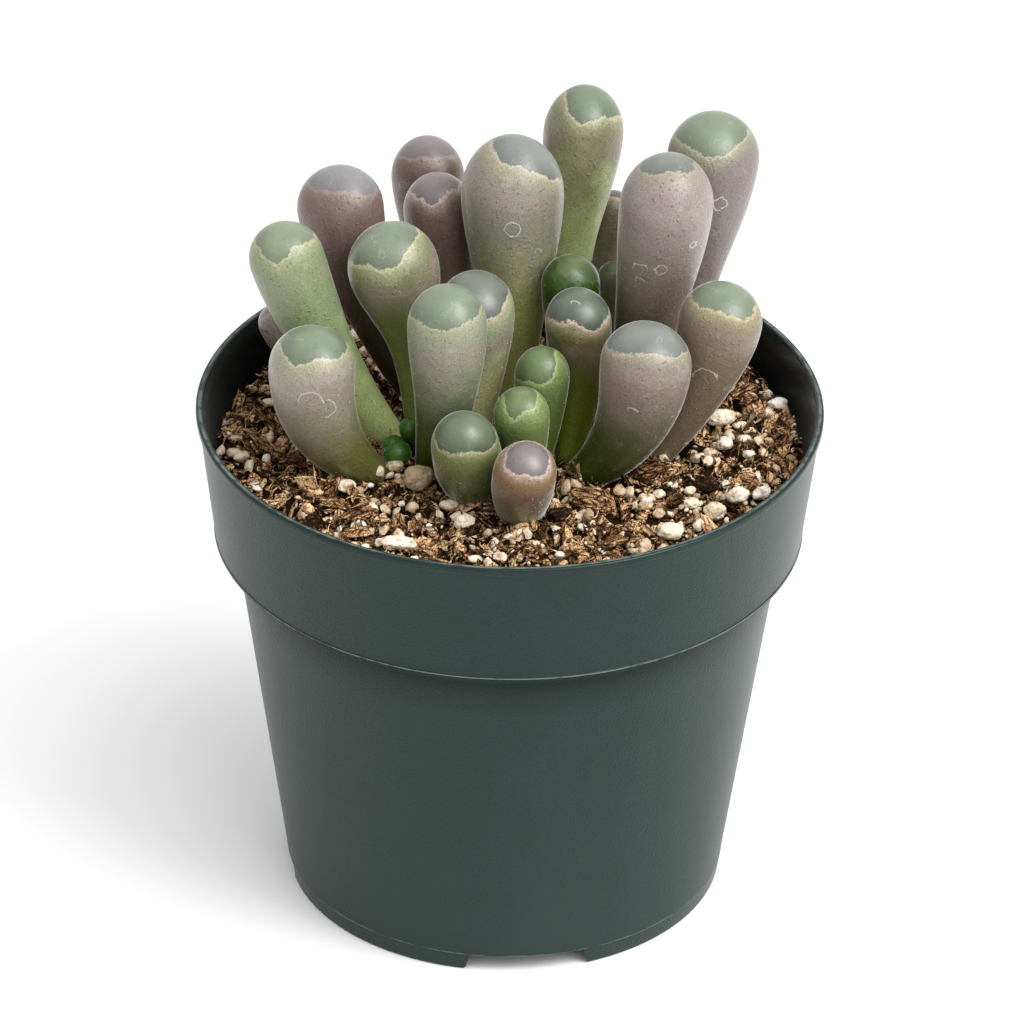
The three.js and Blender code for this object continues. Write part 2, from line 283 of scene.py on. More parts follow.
def litter_height(x: np.ndarray | float, y: np.ndarray | float) -> np.ndarray | float:
    """The height of the litter's underside: the mound with heaps and hollows 4 to 7 mm apart.

    Args:
        x: how far to the right.
        y: how far to the back.

    Returns:
        The height there.
    """
    heaps = 0.35 * np.sin(x / (1.15 * MM) + 1.4 * np.sin(y / (2.1 * MM)))
    rows = 0.3 * np.sin(y / (0.9 * MM) - 1.2 * np.sin(x / (1.7 * MM)))
    small = 0.2 * np.sin((x + 0.6 * y) / (0.65 * MM))
    return soil_height(x, y) + MM * (heaps + rows + small - 0.3)


@dataclass(frozen=True)
class MouldedPolypropylene:
    """Polypropylene, injection moulded in a spark-eroded mould."""

    # The eroded steel leaves a satin, leathery grain that breaks up every reflection, while the lip was
    # polished and shines. The melt's flow clouds the green a little, and the wall is paler towards the foot.
    # Pale grey lines on the collar's lower edge, the foot's edges and the lip's top are painted highlights,
    # the grain's glints are painted specks, and painted shade darkens the wall under the collar and inside.
    # The grain of 0.1 mm is drawn 0.27 mm wide so that it shows.
    name: str = "moulded_polypropylene_dark_green"
    colour: str = "#0c1f1b"
    cloud: str = "#152925"
    pale_grey: str = "#58625f"
    painted_shade: str = "#030706"
    roughness: float = 0.4
    lip_roughness: float = 0.22
    ior: float = 1.49
    gloss: float = 0.24
    shaded_gloss: float = 0.024
    bloom: float = 0.13
    bloom_roughness: float = 0.3
    foot_pallor: float = 0.09
    pallor_from: float = 50 * MM
    pallor_to: float = 3 * MM
    flow: float = 11 * MM
    highlight_break: float = 1.6 * MM
    grain: float = 0.27 * MM
    grain_depth: float = 0.032 * MM

    def make(self) -> Material:
        """Builds the material, from how eroded each place is and how much painted highlight and shade it has.

        Returns:
            The material.
        """
        all_over = {"IOR": self.ior, "Sheen Weight": self.bloom, "Sheen Roughness": self.bloom_roughness}
        material, add = new_material(self.name, all_over)
        names = ("grain", "painted_highlight", "painted_shade")
        grained, painted_highlight, shaded = (add("Attribute", out="Fac", attribute_name=name) for name in names)
        place = add("TexCoord", out="Object")
        clouds = add("TexNoise", {"Vector": place, "Scale": 1 / self.flow, "Detail": 3})
        fine = add("TexNoise", {"Vector": place, "Scale": 1 / self.grain, "Detail": 2})
        breaks = add("TexNoise", {"Vector": place, "Scale": 1 / self.highlight_break, "Detail": 2})
        pebbles = add("TexVoronoi", {"Vector": place, "Scale": 1 / self.grain})

        # The tone from the melt outwards: its clouds, the grain's painted sparkle, paler towards the foot,
        # painted shade under the collar and inside, and painted highlight lines on the edges
        tone = add("Mix", {0: clouds, 6: linear(self.colour), 7: linear(self.cloud)}, 2, **OVER)
        # Painted sparkle: the grain's glints painted as lighter and darker specks
        painted_sparkle = add("MapRange", (fine, 0.35, 0.65, 0.84, 1.18))
        tone = add("Mix", {0: 1.0, 6: tone, 7: painted_sparkle}, 2, **TIMES)
        level = add("SeparateXYZ", (place,), "Z")
        paler = add("MapRange", (level, self.pallor_from, self.pallor_to, 0, self.foot_pallor))
        # Painted highlights: pale lines, broken up, where the mesh marks the edges
        highlight_lines = add("MapRange", (breaks, 0.35, 0.6))
        most = add("Math", (painted_highlight, 1.7, -1), operation="MULTIPLY_ADD")
        highlight_lines = add("Math", (most, highlight_lines), operation="ADD", use_clamp=True)
        for share, over in ((paler, self.pale_grey), (shaded, self.painted_shade), (highlight_lines, self.pale_grey)):
            tone = add("Mix", {0: share, 6: tone, 7: linear(over)}, 2, **OVER)

        relief = add("Math", (pebbles, fine), operation="ADD")
        relief = add("Math", (relief, grained), operation="MULTIPLY")
        sockets = {
            "Base Color": tone,
            "Roughness": add("MapRange", (grained, 0, 1, self.lip_roughness, self.roughness)),
            # Painted shade also takes most of the gloss away where the wall is shaded
            "Specular IOR Level": add("MapRange", (shaded, 0, 1, self.gloss, self.shaded_gloss)),
            "Normal": add("Bump", {"Height": relief, "Distance": self.grain_depth}),
        }
        return link_shader(material, sockets)


@dataclass(frozen=True)
class Peat:
    """Sphagnum peat, milled fine."""

    # Damp and dull, nearly black with brown fibres: peat's own dark colour, made darker as painted shade so
    # that the gaps between the shreds on it read as deep
    name: str = "milled_peat"
    dark: str = "#110a05"
    light: str = "#33210f"
    roughness: float = 0.95
    gloss: float = 0.05
    crumb: float = 0.9 * MM
    relief: float = 0.4 * MM

    def make(self) -> Material:
        """Builds the material: dark crumbs with brown fibres showing between them.

        Returns:
            The material.
        """
        all_over = {"Roughness": self.roughness, "Specular IOR Level": self.gloss}
        material, add = new_material(self.name, all_over)
        place = add("TexCoord", out="Object")
        crumbs = add("TexNoise", {"Vector": place, "Scale": 1 / self.crumb, "Detail": 6})
        tone = add("Mix", {0: crumbs, 6: linear(self.dark), 7: linear(self.light)}, 2, **OVER)
        bump = add("Bump", {"Height": crumbs, "Distance": self.relief})
        return link_shader(material, {"Base Color": tone, "Normal": bump})


@dataclass(frozen=True)
class ShreddedBark:
    """Composted pine bark and coir, torn by a shredder."""

    # Matt and fibrous. Each shred has its own shade, from nearly black bark to tan wood, with veins along
    # it and dark cracks across. The fibres are drawn 0.3 mm wide, three times too coarse, so that they show.
    name: str = "shredded_bark"
    shades: tuple[str, ...] = ("#120903", "#33200f", "#6d4c2f", "#b08a60", "#e2c296")
    roughness: float = 0.85
    gloss: float = 0.15
    fibre: float = 0.3 * MM
    crack: float = 0.8 * MM
    grain: float = 0.16 * MM
    relief: float = 0.25 * MM

    def make(self) -> Material:
        """Builds the material, from the shade and the place along the grain that the mesh holds.

        Returns:
            The material.
        """
        all_over = {"Roughness": self.roughness, "Specular IOR Level": self.gloss}
        material, add = new_material(self.name, all_over)
        shade = add("Attribute", out="Fac", attribute_name="shade")
        along = add("Attribute", out="Vector", attribute_name="along")
        place = add("TexCoord", out="Object")
        short = add("VectorMath", (along, (2.6, 1, 1)), operation="MULTIPLY")
        edge = {"feature": "DISTANCE_TO_EDGE"}
        veins = add("TexNoise", {"Vector": along, "Scale": 1 / self.fibre, "Detail": 3})
        cracks = add("TexVoronoi", {"Vector": short, "Scale": 1 / self.crack}, "Distance", **edge)
        speckle = add("TexNoise", {"Vector": place, "Scale": 1 / self.grain, "Detail": 1})
        for part in (
            add("MapRange", (veins, 0.34, 0.66, -0.24, 0.22)),
            add("MapRange", (cracks, 0.02, 0.11, -0.4, 0.04)),
            add("MapRange", (speckle, 0.34, 0.66, -0.22, 0.24)),
        ):
            shade = add("Math", (shade, part), operation="ADD")
        tone = add("ValToRGB", (shade,))
        set_ramp(tone.node, self.shades)
        bump = add("Bump", {"Height": veins, "Distance": self.relief})
        return link_shader(material, {"Base Color": tone, "Normal": bump})


@dataclass(frozen=True)
class MineralGrit:
    """Perlite and pumice: volcanic froth, popped in a kiln or crushed."""

    # Chalky white to tan and pitted by broken bubbles, with rusty stains where peat water has dried
    name: str = "perlite_and_pumice"
    shades: tuple[str, ...] = ("#efebe2", "#e4d3b6", "#a48c6c")
    stain: str = "#96673a"
    stained: float = 0.75
    roughness: float = 0.85
    patch: float = 0.9 * MM
    pit: float = 0.45 * MM
    relief: float = 0.14 * MM

    def make(self) -> Material:
        """Builds the material, from the shade that the mesh holds for each grain.

        Returns:
            The material.
        """
        material, add = new_material(self.name, {"Roughness": self.roughness})
        place = add("TexCoord", out="Object")
        shade = add("Attribute", out="Fac", attribute_name="shade")
        tone = add("ValToRGB", (shade,))
        set_ramp(tone.node, self.shades)
        patches = add("TexNoise", {"Vector": place, "Scale": 1 / self.patch, "Detail": 5})
        share = add("MapRange", (patches, 0.48, 0.68, 0, self.stained))
        tone = add("Mix", {0: share, 6: tone, 7: linear(self.stain)}, 2, **OVER)
        pits = add("TexVoronoi", {"Vector": place, "Scale": 1 / self.pit})
        relief = add("Math", (pits, patches), operation="ADD")
        bump = add("Bump", {"Height": relief, "Distance": self.relief})
        return link_shader(material, {"Base Color": tone, "Normal": bump})


class Pane(Enum):
    """The window's own colour: clear water tissue over the green inside."""

    SAGE = "#6b7762"
    FERN = "#62705b"
    DUSK = "#57634d"
    SLATE = "#525c50"
    GREY = "#6e736d"
    ASH = "#787577"
    MINT = "#737f67"
    PEWTER = "#62685f"
    ROSY = "#726a6a"
    LEAF = "#62734b"
    GREEN = "#586942"


class Border(Enum):
    """The colour of the band round the window."""

    CREAM = "#a6a388"
    IVORY = "#d0cbb0"
    PALE = "#aba394"
    ROSE = "#b5a296"
    STRAW = "#a89c7c"
    DUSK = "#93827e"
    MAUVE = "#b39f9b"
    LIME = "#949e6b"
    FERN = "#4f5f28"


class Crown(Enum):
    """The colour of the leaf's upper half, which the sun has coloured most."""

    SAGE = "#858974"
    WARM_GREY = "#868373"
    STONE = "#7a7869"
    MAUVE = "#928883"
    ROSY_TAN = "#7d7567"
    KHAKI = "#7a6345"
    PLUM = "#6b5753"
    HERB = "#6b7545"
    UMBER = "#6c614f"
    CHESTNUT = "#57463c"
    TAUPE = "#776c5e"
    PALE_GREEN = "#869070"
    FERN = "#747f5e"
    KHAKI_GREEN = "#6b6a4e"
    MOSS = "#62674a"
    OLIVE = "#4c5024"
    GREEN = "#677845"
    JADE = "#37600c"
    PINE = "#294608"


class Stem(Enum):
    """The colour of the leaf's lower half, which stays green in the shade."""

    # The three pale stems are their own pale colour, made lighter still as painted light where leaves shade
    # them
    BUTTER = "#cdc98c"
    LEMON_GREEN = "#bccb86"
    PALE_OLIVE = "#aeb167"
    LEAF = "#626e16"
    FERN = "#6e7a3a"
    OLIVE = "#5c5e2c"
    DEEP = "#3c4a0a"
    GREEN = "#64792f"
    UMBER = "#6f6442"
    BROWN = "#271f0d"
    CHESTNUT = "#4a3a2e"
    TAUPE = "#716350"
    PALE_TAUPE = "#8a7f72"
    MAUVE = "#877973"
    JADE = "#335a06"
    PINE = "#294608"


@dataclass(frozen=True)
class Colouring:
    """A leaf's colours, how much of a rosy flush its crown has, and its border's width in millimetres."""

    pane: Pane
    border: Border
    crown: Crown
    stem: Stem
    flush: float = 0.3
    band: float = 1.6
    light: float = 1.0
    turn: float = 0.6


class MarkKind(Enum):
    """What an old hurt has left, with the axis across which its ring is cut and the way the rest lies."""

    RING = ("", 0)
    PATCH = ("", 1)
    ARCH = ("Z", 1)
    CREASE = ("Z", -1)
    HOOK = ("X", 1)


@dataclass(frozen=True)
class Mark:
    """A mark in the skin: a turn from the front towards the right, then millimetres down from the tip."""

    kind: MarkKind
    turn: float
    drop: float
    radius: float


@dataclass(frozen=True)
class Window:
    """How far down from the tip a leaf's window reaches, in millimetres along the skin.

    The notch is the corner that points down the leaf, at a turn from the front towards the right.
    """

    left: float
    front: float
    right: float
    back: float
    notch_at: float = 0
    notch_by: float = 0
    notch_half: float = 38

    def reach(self, turn: np.ndarray) -> np.ndarray:
        """Works out the window's reach all round.

        Args:
            turn: degrees from the front towards the right.

        Returns:
            The reach at each turn, in metres.
        """
        turn = np.mod(turn, 360)
        marks = np.array([self.front, self.right, self.back, self.left, self.front])
        low = np.floor(turn / 90).astype(int) % 4
        ease = turn / 90 - np.floor(turn / 90)
        ease = ease * ease * (3 - 2 * ease)
        reach = marks[low] * (1 - ease) + marks[low + 1] * ease
        off = np.abs(np.mod(turn - self.notch_at + 180, 360) - 180)
        return MM * (reach + self.notch_by * np.maximum(0, 1 - off / self.notch_half))


@dataclass(frozen=True)
class SkinPlace:
    """What a skin's nodes know of a place on the leaf."""

    # Itself, how far inside the window it is, and the same with the window's ragged edge
    place: NodeSocket
    edge: NodeSocket
    ragged: NodeSocket
    # How far up the leaf it is, from 0 to 1.3, and how light in the fine specks
    height: NodeSocket
    specks: NodeSocket


@dataclass(frozen=True)
class LeafSkin:
    """The living leaf's skin: firm and wax-coated, grown with a clear window on top."""

    # The wax gives a soft, broken shine and a pale rim where the leaf turns away, and lets a little light
    # into the flesh. The window is smoother and greyer, because it is seen through. The specks are cells
    # of 0.05 mm, drawn three times too coarse so that they show.
    name: str
    look: Colouring
    marks: tuple[tuple[MarkKind, Vector, float], ...] = ()
    roughness: float = 0.42
    pane_roughness: float = 0.33
    ior: float = 1.42
    flesh: float = 0.15
    flesh_depth: float = 1.3 * MM
    wax: float = 0.35
    wax_roughness: float = 0.28
    rim_roughness: float = 0.18
    blush_tone: str = "#8b7370"
    scar_tone: str = "#c9c7b9"
    crease_tone: str = "#6b4a22"
    speck: float = 0.17 * MM
    blush_patch: float = 3.6 * MM
    border_wave: float = 1.4 * MM
    border_tooth: float = 0.42 * MM
    dimple: float = 0.55 * MM
    pimple: float = 0.8 * MM
    pimple_height: float = 0.12 * MM
    pore_gap: float = 1.15 * MM
    scratch: float = 1.2 * MM
    scratch_gap: float = 1.7 * MM
    wander: float = 0.9 * MM
    scar_half_width: float = 0.1 * MM

    def make(self) -> Material:
        """Builds the material, from how far inside the window and how far up the leaf each place is.

        Returns:
            The material.
        """
        all_over = {
            "IOR": self.ior,
            "Subsurface Weight": self.flesh,
            "Subsurface Scale": self.flesh_depth,
            "Coat Weight": self.wax,
            "Coat Roughness": self.wax_roughness,
            "Sheen Weight": 1,
            "Sheen Roughness": self.rim_roughness,
        }
        material, add = new_material(self.name, all_over)
        place = add("TexCoord", out="Object")
        edge, height = (add("Attribute", out="Fac", attribute_name=name) for name in ("edge", "height"))
        specks = add("TexNoise", {"Vector": place, "Scale": 1 / self.speck, "Detail": 2})
        on = SkinPlace(place, edge, self.ragged_edge(add, place, edge), height, specks)
        inside = add("MapRange", (on.ragged, 1.02 * MM, 1.22 * MM))

        # Painted shade and light: the window is painted darkest along its edge and lighter inside
        light = self.look.light
        body = self.mottle(add, self.body_colour(add, on), on, 0.76 * light, 1.24 * light)
        pane = self.mottle(add, linear(self.look.pane.value), on, 0.92, 1.08)
        depth = add("MapRange", (on.ragged, 1.2 * MM, 4 * MM, 0.74, 1.1))
        pane = add("Mix", {0: 1.0, 6: pane, 7: depth}, 2, **TIMES)
        colour = add("Mix", {0: inside, 6: body, 7: pane}, 2, **OVER)
        colour = self.scars(add, on, self.dots(add, on, colour))

        # Dimples and pimples, fainter in the window
        dimples = add("TexNoise", {"Vector": place, "Scale": 1 / self.dimple, "Detail": 3})
        cells = add("TexVoronoi", {"Vector": place, "Scale": 1 / self.pimple})
        pimples = add("MapRange", (cells, 0.05, 0.22, 1, 0))
        relief = add("Math", (dimples, 0.8, pimples), operation="MULTIPLY_ADD")
        fainter = add("MapRange", (inside, 0, 1, 1.0, 0.25))
        relief = add("Math", (relief, fainter), operation="MULTIPLY")
        sockets = {
            "Base Color": colour,
            "Roughness": add("MapRange", (inside, 0, 1, self.roughness, self.pane_roughness)),
            "Normal": add("Bump", {"Height": relief, "Distance": self.pimple_height}),
        }
        return link_shader(material, sockets)

    def ragged_edge(self, add: AddNode, place: NodeSocket, edge: NodeSocket) -> NodeSocket:
        """Moves the window's edge in waves and cuts it up with small teeth.

        Args:
            add: adds a node.
            place: the place on the leaf.
            edge: how far inside the window it is.

        Returns:
            How far inside the ragged window it is, plus 1.1 mm.
        """
        for size, detail, depth in ((self.border_wave, 1, 1.2 * MM), (self.border_tooth, 3, MM)):
            wave = add("TexNoise", {"Vector": place, "Scale": 1 / size, "Detail": detail})
            edge = add("Math", (wave, depth, edge), operation="MULTIPLY_ADD")
        return edge

    def body_colour(self, add: AddNode, on: SkinPlace) -> NodeSocket:
        """Runs the colour from stem to crown, blushes it in patches and lays the border on it.

        Args:
            add: adds a node.
            on: what is known of the place.

        Returns:
            The body's colour.
        """
        look = self.look
        smooth = {"interpolation_type": "SMOOTHSTEP"}
        patches = add("TexNoise", {"Vector": on.place, "Scale": 1 / self.blush_patch, "Detail": 2})
        drift = add("MapRange", (patches, 0, 1, -0.25, 0.25))
        level = add("Math", (on.height, drift), operation="ADD")
        rise = add("MapRange", (level, look.turn - 0.35, look.turn + 0.35), **smooth)
        stem, crown, pale = (linear(tone.value) for tone in (look.stem, look.crown, look.border))
        colour = add("Mix", {0: rise, 6: stem, 7: crown}, 2, **OVER)

        # The blush fades out 11 mm below the window, and towards the border
        blush = add("MapRange", (on.edge, -11 * MM, -4 * MM, 0, look.flush), **smooth)
        clear = add("MapRange", (on.edge, -4 * MM, -1.5 * MM, 1, 0))
        for share in (clear, add("MapRange", (patches, 0.35, 0.62))):
            blush = add("Math", (blush, share), operation="MULTIPLY")
        colour = add("Mix", {0: blush, 6: colour, 7: linear(self.blush_tone)}, 2, **OVER)

        # A broad sunned band of uneven width, then the pale line round the window
        wide = add("Math", (patches, 3 * MM, on.edge), operation="MULTIPLY_ADD")
        wide = add("Math", (wide, 1.5 * MM), operation="SUBTRACT")
        wide = add("Math", (wide, on.edge), operation="MINIMUM")
        wide = add("Math", (on.specks, 0.7 * MM, wide), operation="MULTIPLY_ADD")
        sunned = (pale[0] * 0.78, pale[1] * 0.8, pale[2] * 0.62, 1)
        for where, low, high, tone in (
            (wide, 0.2 - look.band, 0.7, sunned),
            (on.ragged, 0.5, 1.0, pale),
        ):
            share = add("MapRange", (where, low * MM, high * MM, 0, 0.72), **smooth)
            colour = add("Mix", {0: share, 6: colour, 7: tone}, 2, **OVER)
        return colour

    @staticmethod
    def mottle(add: AddNode, colour: Value, on: SkinPlace, low: float, high: float) -> NodeSocket:
        """Makes a colour darker and lighter in fine specks.

        Args:
            add: adds a node.
            colour: the colour, or what gives it.
            on: what is known of the place.
            low: the factor in the darkest specks.
            high: the factor in the lightest.

        Returns:
            The speckled colour.
        """
        factor = add("MapRange", (on.specks, 0.32, 0.68, low, high))
        return add("Mix", {0: 1.0, 6: colour, 7: factor}, 2, **TIMES)

    def dots(self, add: AddNode, on: SkinPlace, colour: NodeSocket) -> NodeSocket:
        """Lays dark pores, and hair-fine pale scratches on the upper half, over a colour.

        Args:
            add: adds a node.
            on: what is known of the place.
            colour: the colour under them.

        Returns:
            The colour with them on.
        """
        cells = add("TexVoronoi", {"Vector": on.place, "Scale": 1 / self.pore_gap})
        pores = add("MapRange", (cells, 0.04, 0.11, 0.5, 1))
        colour = add("Mix", {0: 1.0, 6: colour, 7: pores}, 2, **TIMES)
        curves = add("TexNoise", {"Vector": on.place, "Scale": 1 / self.scratch, "Detail": 0})
        off = add("Math", (curves, 0.5), operation="SUBTRACT")
        off = add("Math", (off,), operation="ABSOLUTE")
        line = add("MapRange", (off, 0.01, 0.035, 1, 0))
        some = add("TexNoise", {"Vector": on.place, "Scale": 1 / self.scratch_gap, "Detail": 0})
        few = add("MapRange", (some, 0.62, 0.7, 0, 0.15))
        for share in (few, add("MapRange", (on.height, 0.35, 0.7))):
            line = add("Math", (line, share), operation="MULTIPLY")
        return add("Mix", {0: line, 6: colour, 7: linear(self.scar_tone)}, 2, **OVER)

    def scars(self, add: AddNode, on: SkinPlace, colour: NodeSocket) -> NodeSocket:
        """Lays the leaf's own marks over a colour.

        Args:
            add: adds a node.
            on: what is known of the place.
            colour: the colour under them.

        Returns:
            The colour with them on.
        """
        if not self.marks:
            return colour
        shift = Vector((self.wander / 2,) * 3)
        waves = add("TexNoise", {"Vector": on.place, "Scale": 1 / self.wander, "Detail": 1}, "Color")
        moved = add("VectorMath", (waves, 2 * shift, on.place), operation="MULTIPLY_ADD")
        for kind, centre, radius in self.marks:
            rim, half, most = (radius, self.scar_half_width, 0.55)
            if kind is MarkKind.PATCH:
                rim, half, most = (0, radius, 0.12)
            away = add("VectorMath", (moved, centre + shift), operation="SUBTRACT")
            far = add("VectorMath", (away,), "Value", operation="LENGTH")
            off = add("Math", (far, rim), operation="SUBTRACT")
            off = add("Math", (off,), operation="ABSOLUTE")
            line = add("MapRange", (off, 0.5 * half, 1.2 * half, most, 0))
            axis, way = kind.value
            if axis:
                along = add("SeparateXYZ", (away,), axis)
                part = add("MapRange", (along, -0.2 * way * radius, 0.1 * way * radius))
                line = add("Math", (line, part), operation="MULTIPLY")
            tone = self.crease_tone if kind is MarkKind.CREASE else self.scar_tone
            colour = add("Mix", {0: line, 6: colour, 7: linear(tone)}, 2, **OVER)
        return colour


def bezier(t: np.ndarray | float, start: Place, pull: Place, end: Place) -> Place:
    """The places on the curve from a start to an end, pulled towards a point between them.

    Args:
        t: how far along the curve, from 0 to 1.
        start: where it starts.
        pull: the point that pulls it.
        end: where it ends.

    Returns:
        The place at each t.
    """
    return (1 - t) ** 2 * start + 2 * t * (1 - t) * pull + t * t * end


def hermite(t: np.ndarray, start: float, end: float, slope_start: float, slope_end: float) -> np.ndarray:
    """A smooth step between two values, with the slope that it has at each end.

    Args:
        t: how far along the step, from 0 to 1.
        start: the value at 0.
        end: the value at 1.
        slope_start: the slope at 0.
        slope_end: the slope at 1.

    Returns:
        The value at each t.
    """
    t2, t3 = t * t, t * t * t
    return (
        (2 * t3 - 3 * t2 + 1) * start
        + (t3 - 2 * t2 + t) * slope_start
        + (3 * t2 - 2 * t3) * end
        + (t3 - t2) * slope_end
    )


def half_width(t: np.ndarray, foot: float, middle: float, cap: float, swell: float = 0.55) -> np.ndarray:
    """Half a leaf's width on the way from its foot to its cap, as in the part's source.

    Args:
        t: how far up, from 0 to 1.
        foot: the width at the foot.
        middle: the width half way up.
        cap: the width at the cap.
        swell: the slope half way up, as a share of how much wider the cap is than the foot.

    Returns:
        The half width at each t.
    """
    slope = swell * (cap - foot)
    low = hermite(2 * t, foot, middle, middle - foot, slope)
    high = hermite(2 * t - 1, middle, cap, slope, 0)
    return np.where(t < 0.5, low, high) / 2


@dataclass(frozen=True)
class Leaf:
    """One leaf, with its sizes in millimetres.

    They are those of the part's source, but for the two front leaves and the three tiny ones, which are
    fitted up to 1.8 mm closer to the photograph.
    """

    foot: tuple[float, float]
    cap: tuple[float, float, float]
    size: tuple[float, float, float, float]
    look: Colouring
    window: Window
    slot: str
    bow: tuple[float, float, float] = (0, 0, 0)
    marks: tuple[Mark, ...] = ()
    body_rings: int = 46
    dome_rings: int = 18
    sides: int = 56
    root_depth: float = 3.4 * MM
    root_to_width: float = 1.6
    uneven: tuple[float, float] = (0.012, 0.008)

    def rings(self) -> tuple[np.ndarray, np.ndarray, np.ndarray, np.ndarray]:
        """Lays the skin's rings along the bowed middle line, from the root to the top of the dome.

        Returns:
            Each ring's middle, the line's direction there, its radius, and how far up the leaf it is.
        """
        foot_width, middle_width, cap_width, dome = (MM * s for s in self.size)
        foot = MM * np.array(self.foot)
        start = np.array([*foot, soil_height(*foot)])
        end = MM * np.array(self.cap)
        pull = (start + end) / 2 + 2 * MM * np.array(self.bow)

        # The body's rings stand at equal lengths along the line
        u = np.linspace(0, 1, 600)[:, None]
        steps = np.diff(bezier(u, start, pull, end), axis=0)
        run = np.r_[0, np.cumsum(np.linalg.norm(steps, axis=1))]
        t = np.linspace(0, 1, self.body_rings)
        u = np.interp(t * run[-1], run, u[:, 0])[:, None]
        middle = bezier(u, start, pull, end)
        ahead = 2 * (1 - u) * (pull - start) + 2 * u * (end - pull)
        ahead /= np.linalg.norm(ahead, axis=1)[:, None]
        radius = half_width(t, foot_width, middle_width, cap_width)

        # The root goes down from the foot, and the dome up from the widest round to just under its pole
        root_depth = min(self.root_depth, self.root_to_width * foot_width)
        root_middle = start - np.outer([1.0, 0.8, 0.4], ahead[0]) * root_depth
        root_radius = foot_width * np.array([0.02, 0.3, 0.46])
        angle = np.linspace(0, math.pi / 2, self.dome_rings + 1)[1:]
        angle[-1] -= 0.02
        middle = np.r_[root_middle, middle, end + np.outer(dome * np.sin(angle), ahead[-1])]
        radius = np.r_[root_radius, radius, cap_width / 2 * np.cos(angle)]
        ahead = np.r_[np.repeat(ahead[:1], 3, 0), ahead, np.repeat(ahead[-1:], self.dome_rings, 0)]
        return middle, ahead, radius, np.r_[np.zeros(3), t, 1 + 0.3 * np.sin(angle)]

    def build(self, name: str, seed: int) -> Object:
        """Builds the leaf and dresses it.

        Args:
            name: the CAD node that it stands for.
            seed: sets its small unevennesses.

        Returns:
            The leaf.
        """
        middle, ahead, radius, height = self.rings()

        # Round each ring the turn starts from the front and goes towards the right
        front = np.array([0, -1, 0]) + ahead * ahead[:, 1:2]
        front /= np.linalg.norm(front, axis=1)[:, None]
        side = np.cross(ahead, front)
        turn = np.linspace(0, 2 * math.pi, self.sides, endpoint=False)
        phase = np.random.default_rng(seed).uniform(0, 2 * math.pi, 2)
        waves = np.stack([np.sin(2 * turn + phase[0]), np.sin(3 * turn + phase[1])])
        uneven = 1 + self.uneven[0] * waves[0] + self.uneven[1] * waves[1]
        out = np.cos(turn)[None, :, None] * front[:, None] + np.sin(turn)[None, :, None] * side[:, None]
        points = middle[:, None] + (radius[:, None] * uneven[None, :])[..., None] * out

        # How far each ring lies from the tip along the skin
        run = np.r_[0, np.cumsum(np.linalg.norm(np.diff(middle, axis=0), axis=1))]
        profile = np.stack([run, radius], 1)
        along = np.r_[0, np.cumsum(np.linalg.norm(np.diff(profile, axis=0), axis=1))]
        drop = along[-1] - along
        edge = self.window.reach(np.degrees(turn))[None, :] - drop[:, None]

        faces = ring_faces(len(middle), self.sides)
        mesh = new_mesh(name, np.r_[points.reshape(-1, 3), middle[:1], middle[-1:]], faces)
        close_ends(mesh, self.sides)
        set_values(mesh, "edge", np.r_[edge.ravel(), -drop[0], edge[-1].mean()])
        set_values(mesh, "height", np.r_[np.repeat(height, self.sides), 0, 1.3])
        marks = tuple((m.kind, self.on_skin(points, drop, m), m.radius * MM) for m in self.marks)
        skin = LeafSkin(f"waxy_leaf_skin_{name[-2:]}", self.look, marks)
        return new_object(f"{name}_living", mesh, skin.make())

    @staticmethod
    def on_skin(points: np.ndarray, drop: np.ndarray, mark: Mark) -> Vector:
        """Finds the place of a mark.

        Args:
            points: the skin's points, by ring and side.
            drop: how far each ring lies from the tip.
            mark: the mark.

        Returns:
            Its centre on the skin.
        """
        rings, sides = points.shape[:2]
        row = float(np.interp(-mark.drop * MM, -drop, np.arange(rings)))
        low = min(int(row), rings - 2)
        side = round(mark.turn / 360 * sides) % sides
        return Vector(points[low, side] + (row - low) * (points[low + 1, side] - points[low, side]))


NO_WINDOW = Window(-6, -6, -6, -6)
YOUNG = Colouring(Pane.GREEN, Border.LIME, Crown.JADE, Stem.JADE, 0, 1)

